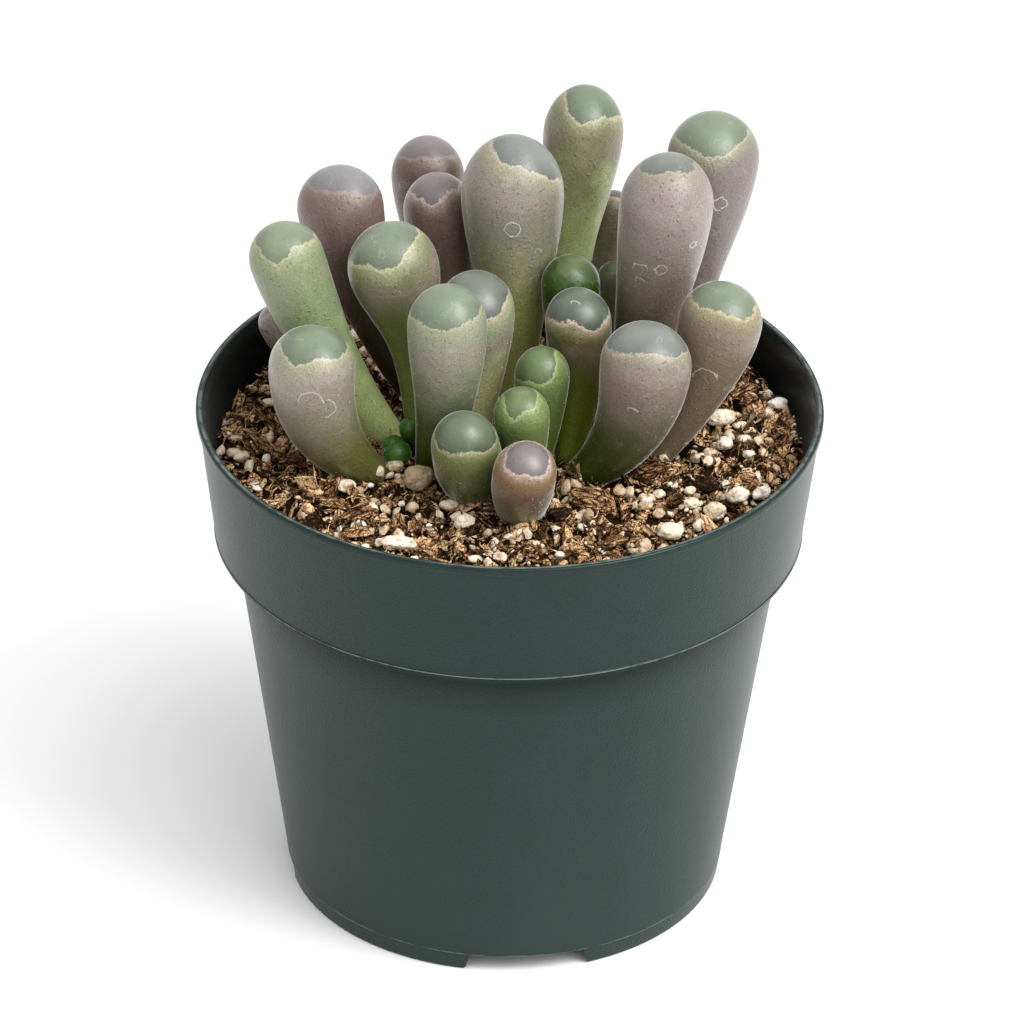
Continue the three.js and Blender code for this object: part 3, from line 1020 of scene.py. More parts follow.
LEAVES = (
    Leaf(
        (1.5, -14.5), (2, -22.5, 71.5), (6.5, 7.8, 8, 4.5),
        Colouring(Pane.ROSY, Border.MAUVE, Crown.KHAKI, Stem.FERN, 0.5, 1.6),
        Window(2.7, 1.8, 3.2, 4), "mauve_leaf",
    ),
    Leaf(
        (-4.5, -10.5), (-5.5, -16, 71), (6.5, 8.8, 8.8, 6),
        Colouring(Pane.DUSK, Border.CREAM, Crown.HERB, Stem.DEEP, 0.15, 1.6),
        Window(4.6, 3.3, 5.9, 5), "sage_leaf",
    ),
    Leaf(
        (-17.5, -6.5), (-25, -8.5, 78), (4.5, 9, 11, 5.5),
        Colouring(Pane.SAGE, Border.CREAM, Crown.WARM_GREY, Stem.OLIVE, 0.55, 2.2),
        Window(4.8, 4.4, 5, 5, -27, 1.2), "olive_leaf", (-2, -0.5, -1),
        (Mark(MarkKind.ARCH, 3, 10.2, 1.5), Mark(MarkKind.HOOK, 17, 11.4, 1.3)),
    ),
    Leaf(
        (10, -6), (17, -9, 79.5), (5, 9, 11.5, 5.5),
        Colouring(Pane.GREY, Border.PALE, Crown.ROSY_TAN, Stem.DEEP, 0.8, 2, 0.82),
        Window(6, 4, 5.8, 5), "olive_leaf", (1.5, -0.5, -1),
        (Mark(MarkKind.ARCH, -14, 12.3, 0.6),),
    ),
    Leaf(
        (2, -7.5), (1.5, -11.5, 73.5), (4.5, 6, 7, 3.5),
        Colouring(Pane.LEAF, Border.LIME, Crown.GREEN, Stem.GREEN, 0, 1.6),
        Window(2.2, 2.2, 2, 4, -25, 1), "green_leaf",
    ),
    Leaf(
        (3.5, -2.5), (4, -4.5, 75), (4, 6, 7, 4),
        Colouring(Pane.GREEN, Border.LIME, Crown.GREEN, Stem.GREEN, 0, 1.4),
        Window(5.6, 4, 1.2, 3, -2, 0.6), "green_leaf",
    ),
    Leaf(
        (-9.5, -4.5), (-8, -7, 83.5), (5, 7.5, 10, 5.5),
        Colouring(Pane.SAGE, Border.CREAM, Crown.SAGE, Stem.DEEP, 0.4, 2.2, 0.88),
        Window(6, 6.4, 5.3, 5, -8, 0.5), "sage_leaf", (0.5, -1.5, 0),
        (Mark(MarkKind.PATCH, 8, 9.3, 0.5),),
    ),
    Leaf((-15.2, -3), (-14.7, -4.3, 64.3), (1.8, 2.4, 2.8, 1.3), YOUNG, NO_WINDOW, "green_leaf"),
    Leaf((-13.8, -3.4), (-14.2, -5.2, 63.7), (2, 3, 3.5, 1.6), YOUNG, NO_WINDOW, "green_leaf"),
    Leaf((-12.5, -0.5), (-12.7, -2.5, 65.8), (1.8, 2.4, 2.8, 1.5), YOUNG, NO_WINDOW, "green_leaf"),
    Leaf(
        (7.5, -1), (8.5, 1.5, 79.5), (3.5, 7, 8.5, 4.5),
        Colouring(Pane.SLATE, Border.ROSE, Crown.OLIVE, Stem.LEAF, 0.5, 3),
        Window(5, 3.7, 5, 4.5, 31, 1.4), "sage_leaf", (0.5, 1.5, 0),
        (Mark(MarkKind.ARCH, -7, 1.4, 0.5),),
    ),
    Leaf(
        (-5, 0), (-4.5, 2.5, 80.5), (4, 7, 10, 5),
        Colouring(Pane.PEWTER, Border.ROSE, Crown.PALE_GREEN, Stem.BUTTER, 0.7, 2),
        Window(5.5, 6.6, 5.2, 5), "olive_leaf", (0.5, 1, 0),
    ),
    Leaf(
        (18.5, -2), (26.5, -2, 82), (3.5, 7, 10.5, 5),
        Colouring(Pane.SAGE, Border.STRAW, Crown.UMBER, Stem.TAUPE, 0.2, 2.4),
        Window(4.9, 4.2, 4, 5, 37, 1), "olive_leaf", (1, 0, -0.5),
        (Mark(MarkKind.ARCH, -9, 14.4, 1.6),),
    ),
    # Painted shadow: this leaf's crown colour is darker and reaches lower, where leaves in front shade it,
    # and its stem is painted light
    Leaf(
        (-15.5, 2), (-28.5, 2.5, 87.5), (4.5, 7, 9.5, 5),
        Colouring(Pane.MINT, Border.CREAM, Crown.FERN, Stem.LEMON_GREEN, 0.15, 2.2, 0.98, 0.46),
        Window(3, 4.1, 5.4, 5, -6, 2.1), "sage_leaf", (-1, -0.5, -0.5),
        (Mark(MarkKind.CREASE, 3, 33.8, 1.9),),
    ),
    Leaf(
        (-11.5, 4.5), (-15, 6, 84.5), (3.5, 5.5, 11.5, 6),
        Colouring(Pane.SAGE, Border.CREAM, Crown.MOSS, Stem.FERN, 0.5, 2.8, 1.08, 0.68),
        Window(6.2, 5.1, 4.4, 5, 3, 1.4), "sage_leaf", (0.5, 0.5, 0),
    ),
    Leaf(
        (8, 13.5), (7.5, 10, 80), (4, 6, 7.5, 4),
        Colouring(Pane.GREEN, Border.FERN, Crown.PINE, Stem.PINE, 0, 1),
        Window(1.2, 2, 4.8, 4), "green_leaf",
    ),
    Leaf(
        (0.5, 13.5), (0, 16.5, 89.5), (4.5, 9, 13, 8),
        Colouring(Pane.GREY, Border.PALE, Crown.STONE, Stem.PALE_OLIVE, 0.3, 3),
        Window(2.4, 4.4, 8.8, 5.5), "olive_leaf", (0, 0.5, 0),
        (
            Mark(MarkKind.RING, 2, 13.1, 1),
            Mark(MarkKind.ARCH, 32, 17.2, 0.5),
            Mark(MarkKind.ARCH, 35, 21.4, 0.6),
            Mark(MarkKind.PATCH, -8, 6.7, 0.9),
        ),
    ),
    Leaf(
        (15, 12.5), (19.5, 9, 92.5), (5, 9, 12, 7),
        Colouring(Pane.GREY, Border.PALE, Crown.MAUVE, Stem.UMBER, 0.4, 2.8, 0.76),
        Window(4.2, 1.9, 3, 5.5), "mauve_leaf", (0.5, 0, 0),
        (
            Mark(MarkKind.RING, 2, 16.3, 0.8),
            Mark(MarkKind.ARCH, -28, 17.1, 1),
            Mark(MarkKind.ARCH, -24, 19, 0.5),
            Mark(MarkKind.RING, 40, 12.7, 0.5),
        ),
    ),
    Leaf(
        (-5, 19.5), (-9.5, 22.5, 83.5), (4, 6, 9, 5),
        Colouring(Pane.ROSY, Border.MAUVE, Crown.PLUM, Stem.PALE_TAUPE, 0.4, 2.2, 0.96),
        Window(4, 3.6, 3.6, 4.5, -7, 1.3), "mauve_leaf", (-0.5, 0, 0),
    ),
    Leaf(
        (-23, 11.5), (-30, 15.5, 70.5), (2.5, 3.5, 5, 2.5),
        Colouring(Pane.ROSY, Border.DUSK, Crown.TAUPE, Stem.TAUPE, 0.2, 1.2, 0.86),
        Window(2, 2, 2, 2.5), "mauve_leaf", (-0.5, 0, 0),
    ),
    Leaf(
        (-12, 12), (-22, 16, 87.5), (3.5, 6, 11, 5.5),
        Colouring(Pane.ASH, Border.DUSK, Crown.PLUM, Stem.BROWN, 0.4, 1.8, 0.86),
        Window(3.7, 4.4, 5.6, 5, 55, 1.2), "mauve_leaf", (-1.5, 0, -0.5),
    ),
    Leaf(
        (7, 24.5), (9, 31.5, 90), (3.5, 5.5, 10.5, 6.5),
        Colouring(Pane.FERN, Border.CREAM, Crown.KHAKI_GREEN, Stem.LEMON_GREEN, 0.3, 2.3, 1, 0.72),
        Window(2.9, 5.2, 6.2, 5, -10, 1.6), "green_leaf", (0, 0, 0),
        (Mark(MarkKind.PATCH, 10, 18, 0.9),),
    ),
    Leaf(
        (12.5, 23.5), (13, 26, 71.5), (2.5, 3, 4, 2.5),
        Colouring(Pane.GREEN, Border.FERN, Crown.MOSS, Stem.DEEP, 0, 1),
        Window(2, 1.5, 2, 2.5), "green_leaf",
    ),
    Leaf(
        (20, 15.5), (25.5, 20.5, 93), (4, 7, 12, 6),
        Colouring(Pane.SAGE, Border.IVORY, Crown.MAUVE, Stem.MAUVE, 0.4, 3, 0.52),
        Window(6.7, 6.3, 4, 4.5, -10, 1.2), "mauve_leaf", (0.5, 0, 0),
        (Mark(MarkKind.RING, 16, 13.4, 0.9),),
    ),
    Leaf(
        (11.5, 26.5), (13, 33, 77.5), (2.5, 3.5, 5.5, 3),
        Colouring(Pane.ROSY, Border.ROSE, Crown.UMBER, Stem.PALE_TAUPE, 0, 1.4),
        Window(2, 2, 2.5, 3), "mauve_leaf",
    ),
    Leaf(
        (-9, 24), (-11, 32, 83), (3.5, 6, 9.5, 5.5),
        Colouring(Pane.ROSY, Border.DUSK, Crown.CHESTNUT, Stem.CHESTNUT, 0.5, 2.4, 0.86),
        Window(4.4, 4.2, 5, 5.5), "mauve_leaf", (0, 0.5, 0),
    ),
)


@dataclass
class NurseryPot:
    """The pot: turned about its axis, with notches through its foot and drain holes in its floor."""

    sides: int = 256
    notches: tuple[float, ...] = (6.5, 104, 187, 268.5)
    notch_width: float = 15.5 * MM
    notch_flare: float = 0.8 * MM
    notch_draft: float = 0.4 * MM
    first_drain: float = 52
    drain_radius: float = 3.5 * MM
    drain_ring: float = 19 * MM
    drain_sides: int = 40
    foot_radius: float = 28 * MM
    lip_height: float = 1.1 * MM
    lip_width: float = 1.0 * MM
    edge: float = 0.4 * MM
    corner: float = 0.3 * MM
    bead: float = 0.14 * MM
    bead_height: float = 0.32 * MM
    bead_crest: float = 0.13 * MM
    seam: float = 0.06 * MM
    # Painted shade fades down the body below the collar and lies inside; painted highlights lie on the edges
    shade_depths: tuple[float, ...] = (1.2 * MM, 2.4 * MM, 4.5 * MM, 8 * MM)
    shade_shares: tuple[float, ...] = (0.8, 0.45, 0.2, 0)
    edge_highlight: float = 0.8
    line_highlight: float = 0.7
    inner_grain: float = 0.5
    inner_shade: float = 0.9
    sharp_from: float = 32

    def profile(self) -> list[tuple[float, float, float]]:
        """Draws the wall from the middle of the floor's underside out, up the outside and down the inside.

        Returns:
            The radius, the height and the rounding of each corner.
        """
        wall, foot, shelf = POT.wall, POT.foot_height, POT.collar_low_z
        bead_radius = POT.collar_low_radius + self.bead
        bead_top = shelf + self.bead_height
        lip_low = POT.height - self.lip_height
        lip_inner = POT.rim_radius - self.lip_width
        return [
            (0, foot, 0),
            (self.foot_radius - wall, foot, self.corner),
            (self.foot_radius - wall, 0, self.corner),
            (self.foot_radius, 0, self.edge),
            (POT.body_low_radius - 0.1 * MM, foot - 0.1 * MM, 0),
            (POT.body_low_radius + self.seam, foot, 0.04 * MM),
            (POT.body_radius(foot + 0.15 * MM), foot + 0.15 * MM, 0),
            *[(POT.body_radius(shelf - deep), shelf - deep, 0) for deep in reversed(self.shade_depths)],
            (POT.body_top_radius, shelf, self.corner),
            (bead_radius, shelf, 0.12 * MM),
            (bead_radius, shelf + 0.15 * MM, 0),
            (bead_radius, bead_top, 0.1 * MM),
            (POT.collar_radius(bead_top + 0.1 * MM), bead_top + 0.1 * MM, 0),
            (POT.collar_radius(lip_low), lip_low, 0.15 * MM),
            (POT.rim_radius, lip_low + 0.2 * MM, 0.15 * MM),
            (POT.rim_radius, POT.height, self.edge),
            (lip_inner, POT.height, self.edge),
            (lip_inner - 0.2 * MM, POT.height - 3 * MM, 0),
            (POT.collar_radius(shelf + wall) - wall, shelf + wall, self.corner),
            (POT.body_radius(shelf + wall) - wall, shelf + wall, self.corner),
            (POT.body_radius(foot + wall) - wall, foot + wall, self.corner),
            (0, foot + wall, 0),
        ]

    def build(self) -> Object:
        """Turns, cuts and dresses the pot.

        Returns:
            The pot.
        """
        outline = rounded(self.profile())
        turn = np.linspace(0, 2 * math.pi, self.sides, endpoint=False)
        radius, z = np.hsplit(outline[1:-1], 2)
        rings = np.stack([radius * np.cos(turn), radius * np.sin(turn), np.tile(z, self.sides)], -1)
        poles = np.array([[0, 0, outline[0, 1]], [0, 0, outline[-1, 1]]])
        mesh = new_mesh("pot", np.r_[rings.reshape(-1, 3), poles], ring_faces(len(radius), self.sides))
        close_ends(mesh, self.sides)
        pot = new_object("nursery_pot", mesh, MouldedPolypropylene().make())
        cutters = []
        for number, notch_at in enumerate(self.notches):
            drain_at = self.first_drain + number * 360 / len(self.notches)
            cutters.append(self.notch(f"notch_{number}", math.radians(notch_at)))
            cutters.append(self.drain(f"drain_{number}", math.radians(drain_at)))
        cut_and_apply(pot, cutters)
        pot.data.set_sharp_from_angle(angle=math.radians(self.sharp_from))
        self.mark_wall(pot.data)
        return pot

    def mark_wall(self, mesh: Mesh) -> None:
        """Marks where the wall has the mould's grain, where pale lines are painted on its edges as
        highlights, and where shade is painted under the collar and inside.

        Args:
            mesh: the pot's mesh.
        """
        shelf = POT.collar_low_z
        place = np.zeros(3 * len(mesh.vertices))
        mesh.vertices.foreach_get("co", place)
        x, y, z = place.reshape(-1, 3).T
        body = np.where(z < POT.foot_height, self.foot_radius, POT.body_radius(z))
        outer = np.where(z < shelf, body, POT.collar_radius(z))
        outside = np.hypot(x, y) > outer - 0.35 * MM
        inner = ~outside & (z < POT.height - 1.2 * MM)
        crest = shelf + self.bead_crest
        edge = outside & (z > crest) & (z < shelf + self.bead_height)
        under = outside & (z > shelf - 0.01 * MM) & (z < crest)
        seam = outside & (np.abs(z - POT.foot_height) < 0.09 * MM)
        below = outside & (z < 0.2 * MM)
        top = z > POT.height - 0.01 * MM
        grained = outside & ~edge & (z < POT.height - self.lip_height)
        # Painted highlights: pale lines along the collar's lower edge, the foot's seam and lower edge, and
        # the lip's top
        pale_grey = np.where(seam | below | top, self.line_highlight, 0)
        set_values(mesh, "grain", np.where(grained, 1, np.where(inner, self.inner_grain, 0)))
        set_values(mesh, "painted_highlight", np.where(edge, self.edge_highlight, pale_grey))
        # Painted shade under the collar's overhang, fading down the body, and inside the pot
        shadowed = outside * np.interp(shelf - z, self.shade_depths, self.shade_shares, 0)
        set_values(mesh, "painted_shade", np.where(under, 1, np.where(inner, self.inner_shade, shadowed)))

    def notch(self, name: str, angle: float) -> Object:
        """Makes a notch's opening: straight up to the floor and flared at the foot's lower edge.

        Args:
            name: the solid's name.
            angle: how far it is turned from the front, in radians.

        Returns:
            The solid.
        """
        half, flare = self.notch_width / 2, self.notch_flare
        bend = [math.pi / 2 * i / 8 for i in range(9)]
        right = [(half + flare * (1 - math.sin(b)), flare * (1 - math.cos(b))) for b in bend]
        right = [(half + flare, -MM), *right, (half - self.notch_draft, POT.foot_height)]
        outline = right + [(-x, z) for x, z in reversed(right)]
        near, far = 22 * MM, 45 * MM
        points = [(x, -d, z) for d in (near, far) for x, z in outline]
        return prism(name, points, len(outline), angle)

    def drain(self, name: str, angle: float) -> Object:
        """Makes a drain hole's round.

        Args:
            name: the solid's name.
            angle: how far it is turned from the front, in radians.

        Returns:
            The solid.
        """
        turns = [2 * math.pi * i / self.drain_sides for i in range(self.drain_sides)]
        low, high = 1 * MM, 6 * MM
        points = [
            (self.drain_radius * math.cos(a), -self.drain_ring + self.drain_radius * math.sin(a), z)
            for z in (low, high)
            for a in turns
        ]
        return prism(name, points, self.drain_sides, angle)


def rounded(corners: list[tuple[float, float, float]], steps: int = 5) -> np.ndarray:
    """Rounds the corners of an open outline.

    Args:
        corners: radius, height and rounding of each corner.
        steps: how many pieces each rounding has.

    Returns:
        One row of radius and height for each point.
    """
    points = []
    for i, (x, z, r) in enumerate(corners):
        here = Vector((x, z))
        if r == 0:
            points.append(here)
            continue
        before = (Vector(corners[i - 1][:2]) - here).normalized()
        after = (Vector(corners[i + 1][:2]) - here).normalized()
        reach = r / math.tan(before.angle(after) / 2)
        start, end = here + before * reach, here + after * reach
        points += [bezier(step / steps, start, here, end) for step in range(steps + 1)]
    return np.array(points)


def prism(name: str, points: list[tuple[float, float, float]], sides: int, angle: float) -> Object:
    """Makes a straight solid between two outlines, turned about the pot's axis.

    Args:
        name: the solid's name.
        points: the first outline's points, then the second's.
        sides: how many points each outline has.
        angle: the turn, in radians.

    Returns:
        The solid, which isn't part of the object.
    """
    form = bmesh.new()
    verts = [form.verts.new(p) for p in points]
    form.faces.new(verts[:sides])
    form.faces.new(reversed(verts[sides:]))
    for i in range(sides):
        after = (i + 1) % sides
        form.faces.new((verts[i], verts[after], verts[sides + after], verts[sides + i]))
    bmesh.ops.recalc_face_normals(form, faces=form.faces)
    form.transform(Matrix.Rotation(angle, 4, "Z"))
    mesh = bpy.data.meshes.new(name)
    form.to_mesh(mesh)
    form.free()
    solid = bpy.data.objects.new(name, mesh)
    bpy.context.scene.collection.objects.link(solid)
    return solid


def cut_and_apply(piece: Object, cutters: list[Object]) -> None:
    """Cuts solids out of a piece and removes them.

    Args:
        piece: the piece, whose mesh is replaced by the cut one.
        cutters: the solids.
    """
    for cutter in cutters:
        step = piece.modifiers.new(cutter.name, "BOOLEAN")
        step.operation, step.solver, step.object = "DIFFERENCE", "EXACT", cutter
    graph = bpy.context.evaluated_depsgraph_get()
    cut = bpy.data.meshes.new_from_object(piece.evaluated_get(graph), depsgraph=graph)
    whole, piece.data = piece.data, cut
    piece.modifiers.clear()
    bpy.data.meshes.remove(whole)
    for cutter in cutters:
        bpy.data.objects.remove(cutter)


@dataclass(frozen=True)
class Form:
    """A loose bit one unit long: its points, its triangles and how much lighter each point is, partly painted
    light.
    """

    points: np.ndarray
    faces: np.ndarray
    tone: np.ndarray


def flake_forms(rng: np.random.Generator, count: int = 18) -> list[Form]:
    """Makes curled and cupped flakes that lie along x, with rims lighter than their faces.

    Args:
        rng: where their random numbers come from.
        count: how many different ones there are.

    Returns:
        The flakes.
    """
    forms = []
    steps = 9
    across = np.array([-1, -0.5, 0, 0.5, 1, 0.5, 0, -0.5])
    above = np.array([0, -1, -1.2, -1, 0, 1, 1.2, 1]) / 2
    for _ in range(count):
        width, thick = rng.uniform(0.26, 0.62), rng.uniform(0.05, 0.11)
        curl, cup, twist = rng.normal(0, 1.3), rng.normal(0, 0.5), rng.normal(0, 0.6)
        t = np.linspace(-0.5, 0.5, steps)
        taper = np.sqrt(np.clip(1 - (2 * np.abs(t)) ** rng.uniform(2, 6), 0.03, 1))
        taper = taper * np.clip(1 + 0.2 * rng.normal(0, 1, steps), 0.5, 1.5)
        angle = curl * t
        middle = np.stack([t * np.cos(angle / 2), 0.12 * rng.normal() * t * t, t * np.sin(angle / 2)], 1)
        rings = []
        for i in range(steps):
            roll = twist * t[i]
            side = np.array([0, math.cos(roll), math.sin(roll)])
            over = np.array([-math.sin(angle[i]), -math.sin(roll), math.cos(roll) * math.cos(angle[i])])
            high = above * thick + cup * width * taper[i] * across**2
            rings.append(middle[i] + np.outer(across * width * taper[i] / 2, side) + np.outer(high, over))
        tone = np.tile(np.where(np.abs(across) == 1, 0.22, -0.06), (steps, 1))
        tone[[0, -1]] = 0.14
        forms.append(Form(*closed_tube(np.array(rings)), np.r_[tone.ravel(), 0.14, 0.14]))
    return forms


def fibre_forms(rng: np.random.Generator, count: int = 28) -> list[Form]:
    """Makes fibres, from nearly straight to curled up, with painted light along their tops and painted shade
    below.

    Args:
        rng: where their random numbers come from.
        count: how many different ones there are.

    Returns:
        The fibres.
    """
    forms = []
    steps = 9
    t = np.linspace(0, 1, steps)
    turn = math.pi / 2 + np.arange(3) * 2 * math.pi / 3
    tone = np.r_[np.tile([0.12, -0.08, -0.08], steps), 0, 0]
    for _ in range(count):
        bend, sway = rng.normal(0, 3.4), rng.normal(0, 0.35)
        angle = bend * t * t + 0.5 * np.sin(5 * t + rng.uniform(0, 6))
        way = np.stack([np.cos(angle), np.sin(angle), sway * np.cos(3 * t)], 1)
        middle = np.cumsum(way, 0) / steps
        middle -= middle.mean(0)
        thick = rng.uniform(0.024, 0.058) * np.sqrt(np.clip(1 - (2 * t - 1) ** 4, 0.05, 1))
        rings = []
        for i in range(steps):
            side = np.array([-way[i, 1], way[i, 0], 0])
            round_it = np.outer(np.cos(turn), side) + np.outer(np.sin(turn), [0, 0, 1])
            rings.append(middle[i] + thick[i] * round_it)
        forms.append(Form(*closed_tube(np.array(rings)), tone))
    return forms


def closed_tube(rings: np.ndarray) -> tuple[np.ndarray, np.ndarray]:
    """Lays triangles over rings of points, with a fan over each end.

    Args:
        rings: one layer for each ring, with one row of x, y and z for each point.

    Returns:
        Points and triangles.
    """
    count, sides = rings.shape[:2]
    quads = ring_faces(count, sides)
    points = np.r_[rings.reshape(-1, 3), rings[:1].mean(1), rings[-1:].mean(1)]
    pole = np.full(sides, count * sides)
    i = np.arange(sides)
    after = (i + 1) % sides
    top = (count - 1) * sides
    fans = [np.stack([pole, after, i], 1), np.stack([pole + 1, top + i, top + after], 1)]
    return points, np.concatenate([quads[:, [0, 1, 2]], quads[:, [0, 2, 3]], *fans])


def lump_forms(rng: np.random.Generator, detail: int, count: int, rough: float) -> list[Form]:
    """Makes uneven lumps, with painted light where they stand out and painted shade in their hollows.

    Args:
        rng: where their random numbers come from.
        detail: how often an icosahedron is split for them.
        count: how many different ones there are.
        rough: how uneven they are, as a share of their width.

    Returns:
        The lumps.
    """
    form = bmesh.new()
    bmesh.ops.create_icosphere(form, subdivisions=detail, radius=0.5)
    round_points = [v.co.copy() for v in form.verts]
    triangles = np.array([[v.index for v in f.verts] for f in form.faces])
    form.free()
    forms = []
    for _ in range(count):
        shift = Vector(rng.uniform(0, 100, 3))
        swell = [noise.noise(p * 2.2 + shift) + 0.4 * noise.noise(p * 6.5 + shift) for p in round_points]
        points = [p * (1 + rough * out) for p, out in zip(round_points, swell)]
        flat = np.array([1, rng.uniform(0.75, 1), rng.uniform(0.65, 0.9)])
        forms.append(Form(np.array(points) * flat, triangles, 0.2 * np.array(swell)))
    return forms


@dataclass(frozen=True)
class Lump:
    """A big lump on the soil: its place, size and turn in millimetres and degrees, and its shade."""

    x: float
    y: float
    length: float
    breadth: float
    height: float
    turn: float = 0
    shade: float = 0.3


# The light grains that show, from the right round the front to the left
GRIT_LUMPS = (
    Lump(27, 6.5, 4, 2.8, 2.4, 15, 0.35),
    Lump(29.5, 5.5, 1.8, 1.7, 1.6, 0, 0.4),
    Lump(30, 2, 1.7, 1.7, 1.6, 0, 0.35),
    Lump(27.5, 0.5, 2.1, 2, 1.8, 40, 0.2),
    Lump(25.5, -1.5, 1.8, 1.6, 1.4, 0, 0.45),
    Lump(30.5, -1.5, 1.5, 1.4, 1.4, 0, 0.3),
    Lump(34.5, 11.5, 2.7, 2.2, 1.9, 20, 0),
    Lump(33, 9, 1.7, 1.6, 1.6, 0, 0.1),
    Lump(27.5, -9, 1.3, 1.3, 1.3, 0, 0.15),
    Lump(29, -12.5, 2.8, 2.7, 2.5, 0, 0.3),
    Lump(32, -11, 2.8, 2, 1.9, 35, 0.1),
    Lump(26, -16.5, 2.9, 2.7, 2.6, 0, 0.5),
    Lump(23, -11, 1.6, 1.5, 1.5, 0, 0.5),
    Lump(23, -14, 2.4, 2, 1.6, -20, 0.35),
    Lump(19, -12, 1.6, 1.5, 1.4, 0, 0.3),
    Lump(17.5, -13.5, 1.5, 1.4, 1.4, 0, 0.15),
    Lump(20.5, -21.5, 3.3, 2.9, 2.7, 30, 0.35),
    Lump(19, -16.5, 1.9, 1.7, 1.4, 60, 0.7),
    Lump(8.5, -18, 1.3, 1, 1, 0, 0.2),
    Lump(-20.5, -11.5, 2.7, 2.3, 2.1, 0, 0.45),
    Lump(-16.5, -8, 1.5, 1.5, 1.9, 0, 0.4),
    Lump(-14.5, -7, 2.2, 2, 1.9, 0, 0.5),
    Lump(-11.5, -11, 4.2, 3.4, 3.6, 25, 0.9),
    Lump(-17.5, -10.5, 0.9, 0.8, 0.8, 0, 0),
    Lump(-26, -15, 0.9, 0.9, 0.9, 0, 0),
    Lump(-25.5, -10.5, 1.2, 1, 1.1, 0, 0.4),
    Lump(-13.5, -15, 0.9, 0.9, 0.9, 0, 0),
    Lump(-10, -20, 0.8, 0.8, 0.8, 0, 0),
    Lump(-5.5, -15, 2.2, 1.5, 1.4, -25, 0.4),
    Lump(-7.5, -16, 2.3, 2, 1.8, 0, 0.5),
    Lump(-5.5, -21, 2.8, 2.6, 3, 0, 0.3),
    Lump(-6, -18.8, 2.4, 1.8, 1.8, 10, 0.4),
    Lump(-14, -25, 5.4, 2.6, 2.2, -8, 0.3),
    Lump(-4, -28, 2.1, 1.5, 1.4, 0, 0.35),
    Lump(-1, -27.5, 2, 1.7, 1.6, 0, 0.4),
    Lump(-8, -24, 0.8, 0.8, 0.8, 0, 0.1),
    Lump(-35, -2.5, 2.2, 1.7, 1.5, 0, 0.65),
    Lump(-34, -3.5, 2.2, 1.5, 1.5, 20, 0.6),
    Lump(-36, 3, 0.7, 0.7, 0.7, 0, 0.1),
    Lump(-35, 1.5, 1.7, 1.3, 1.1, 0, 0.6),
    Lump(1, -17.5, 1.5, 1.2, 1.2, 0, 0.1),
    Lump(0, -22.5, 1.3, 1, 1, 30, 0.2),
    Lump(6.5, -26.5, 1.3, 1.2, 1.1, 0, 0.15),
    Lump(15, 24, 2.6, 2.2, 2, 30, 0.3),
    Lump(-20, 27, 3, 2.4, 2, 60, 0.4),
    Lump(27, 20, 2.2, 2, 1.8, 0, 0.1),
    Lump(-31, 10, 1.8, 1.6, 1.4, 0, 0.5),
    Lump(2, 33, 2.4, 2, 1.8, 0, 0.3),
)

# The lumps and flat chips of bark that show, and a few behind the plant
BARK_LUMPS = (
    Lump(11, -15, 6, 4, 3.4, -25, 0.6),
    Lump(6.5, -18, 3.2, 2.6, 2.4, 20, 0.1),
    Lump(25, -10, 2.6, 3.2, 2.6, 60, 0.08),
    Lump(17.5, -8, 5, 3.4, 3, 30, 0.35),
    Lump(-22, -14.5, 4.8, 2.8, 1.2, -30, 0.5),
    Lump(-18.5, -17, 5.2, 3, 1.4, 35, 0.5),
    Lump(-19, -21.5, 4.8, 2.6, 1.2, 10, 0.6),
    Lump(8, -10.5, 2.8, 2.2, 2, 0, 0.4),
    Lump(30, 14, 4.4, 2.8, 2, 40, 0.45),
    Lump(-30, 4, 4.2, 2.6, 2.2, -60, 0.4),
    Lump(-27, -5, 4.6, 2.4, 1.6, -10, 0.35),
    Lump(14, -23, 4.6, 2.6, 1.6, 25, 0.4),
    Lump(-10, -29, 4.2, 2, 1.4, 15, 0.45),
    Lump(4, -31, 4.4, 2.2, 1.4, -5, 0.4),
    Lump(21, -27, 4, 2, 1.4, 30, 0.35),
    Lump(-26, 18, 4.6, 3, 2.2, 20, 0.4),
    Lump(-2, 28, 5, 3, 2.4, -20, 0.5),
    Lump(20, 29, 4.8, 3, 2, 50, 0.4),
)


@dataclass
class Litter:
    """Loose bits that become one piece, which holds a shade and a place along the grain for each point."""

    name: str
    points: list[np.ndarray] = field(default_factory=list)
    faces: list[np.ndarray] = field(default_factory=list)
    shades: list[np.ndarray] = field(default_factory=list)
    along: list[np.ndarray] = field(default_factory=list)
    total: int = 0

    def add(self, points: np.ndarray, faces: np.ndarray, shades: np.ndarray, flat: np.ndarray) -> None:
        """Adds some bits.

        Args:
            points: their points, in place.
            faces: their triangles, as numbers of these points.
            shades: how light each point is.
            flat: each point's place before the bits were turned and moved, with x along the grain.
        """
        self.points.append(points.reshape(-1, 3))
        self.faces.append(faces.reshape(-1, 3) + self.total)
        self.shades.append(shades.ravel())
        self.along.append(flat.reshape(-1, 3))
        self.total += len(self.points[-1])

    def join(self, material: Material) -> Object:
        """Joins the bits.

        Args:
            material: their finish.

        Returns:
            The piece.
        """
        mesh = new_mesh(self.name, np.concatenate(self.points), np.concatenate(self.faces))
        set_values(mesh, "shade", np.concatenate(self.shades))
        set_values(mesh, "along", np.concatenate(self.along))
        return new_object(self.name, mesh, material)


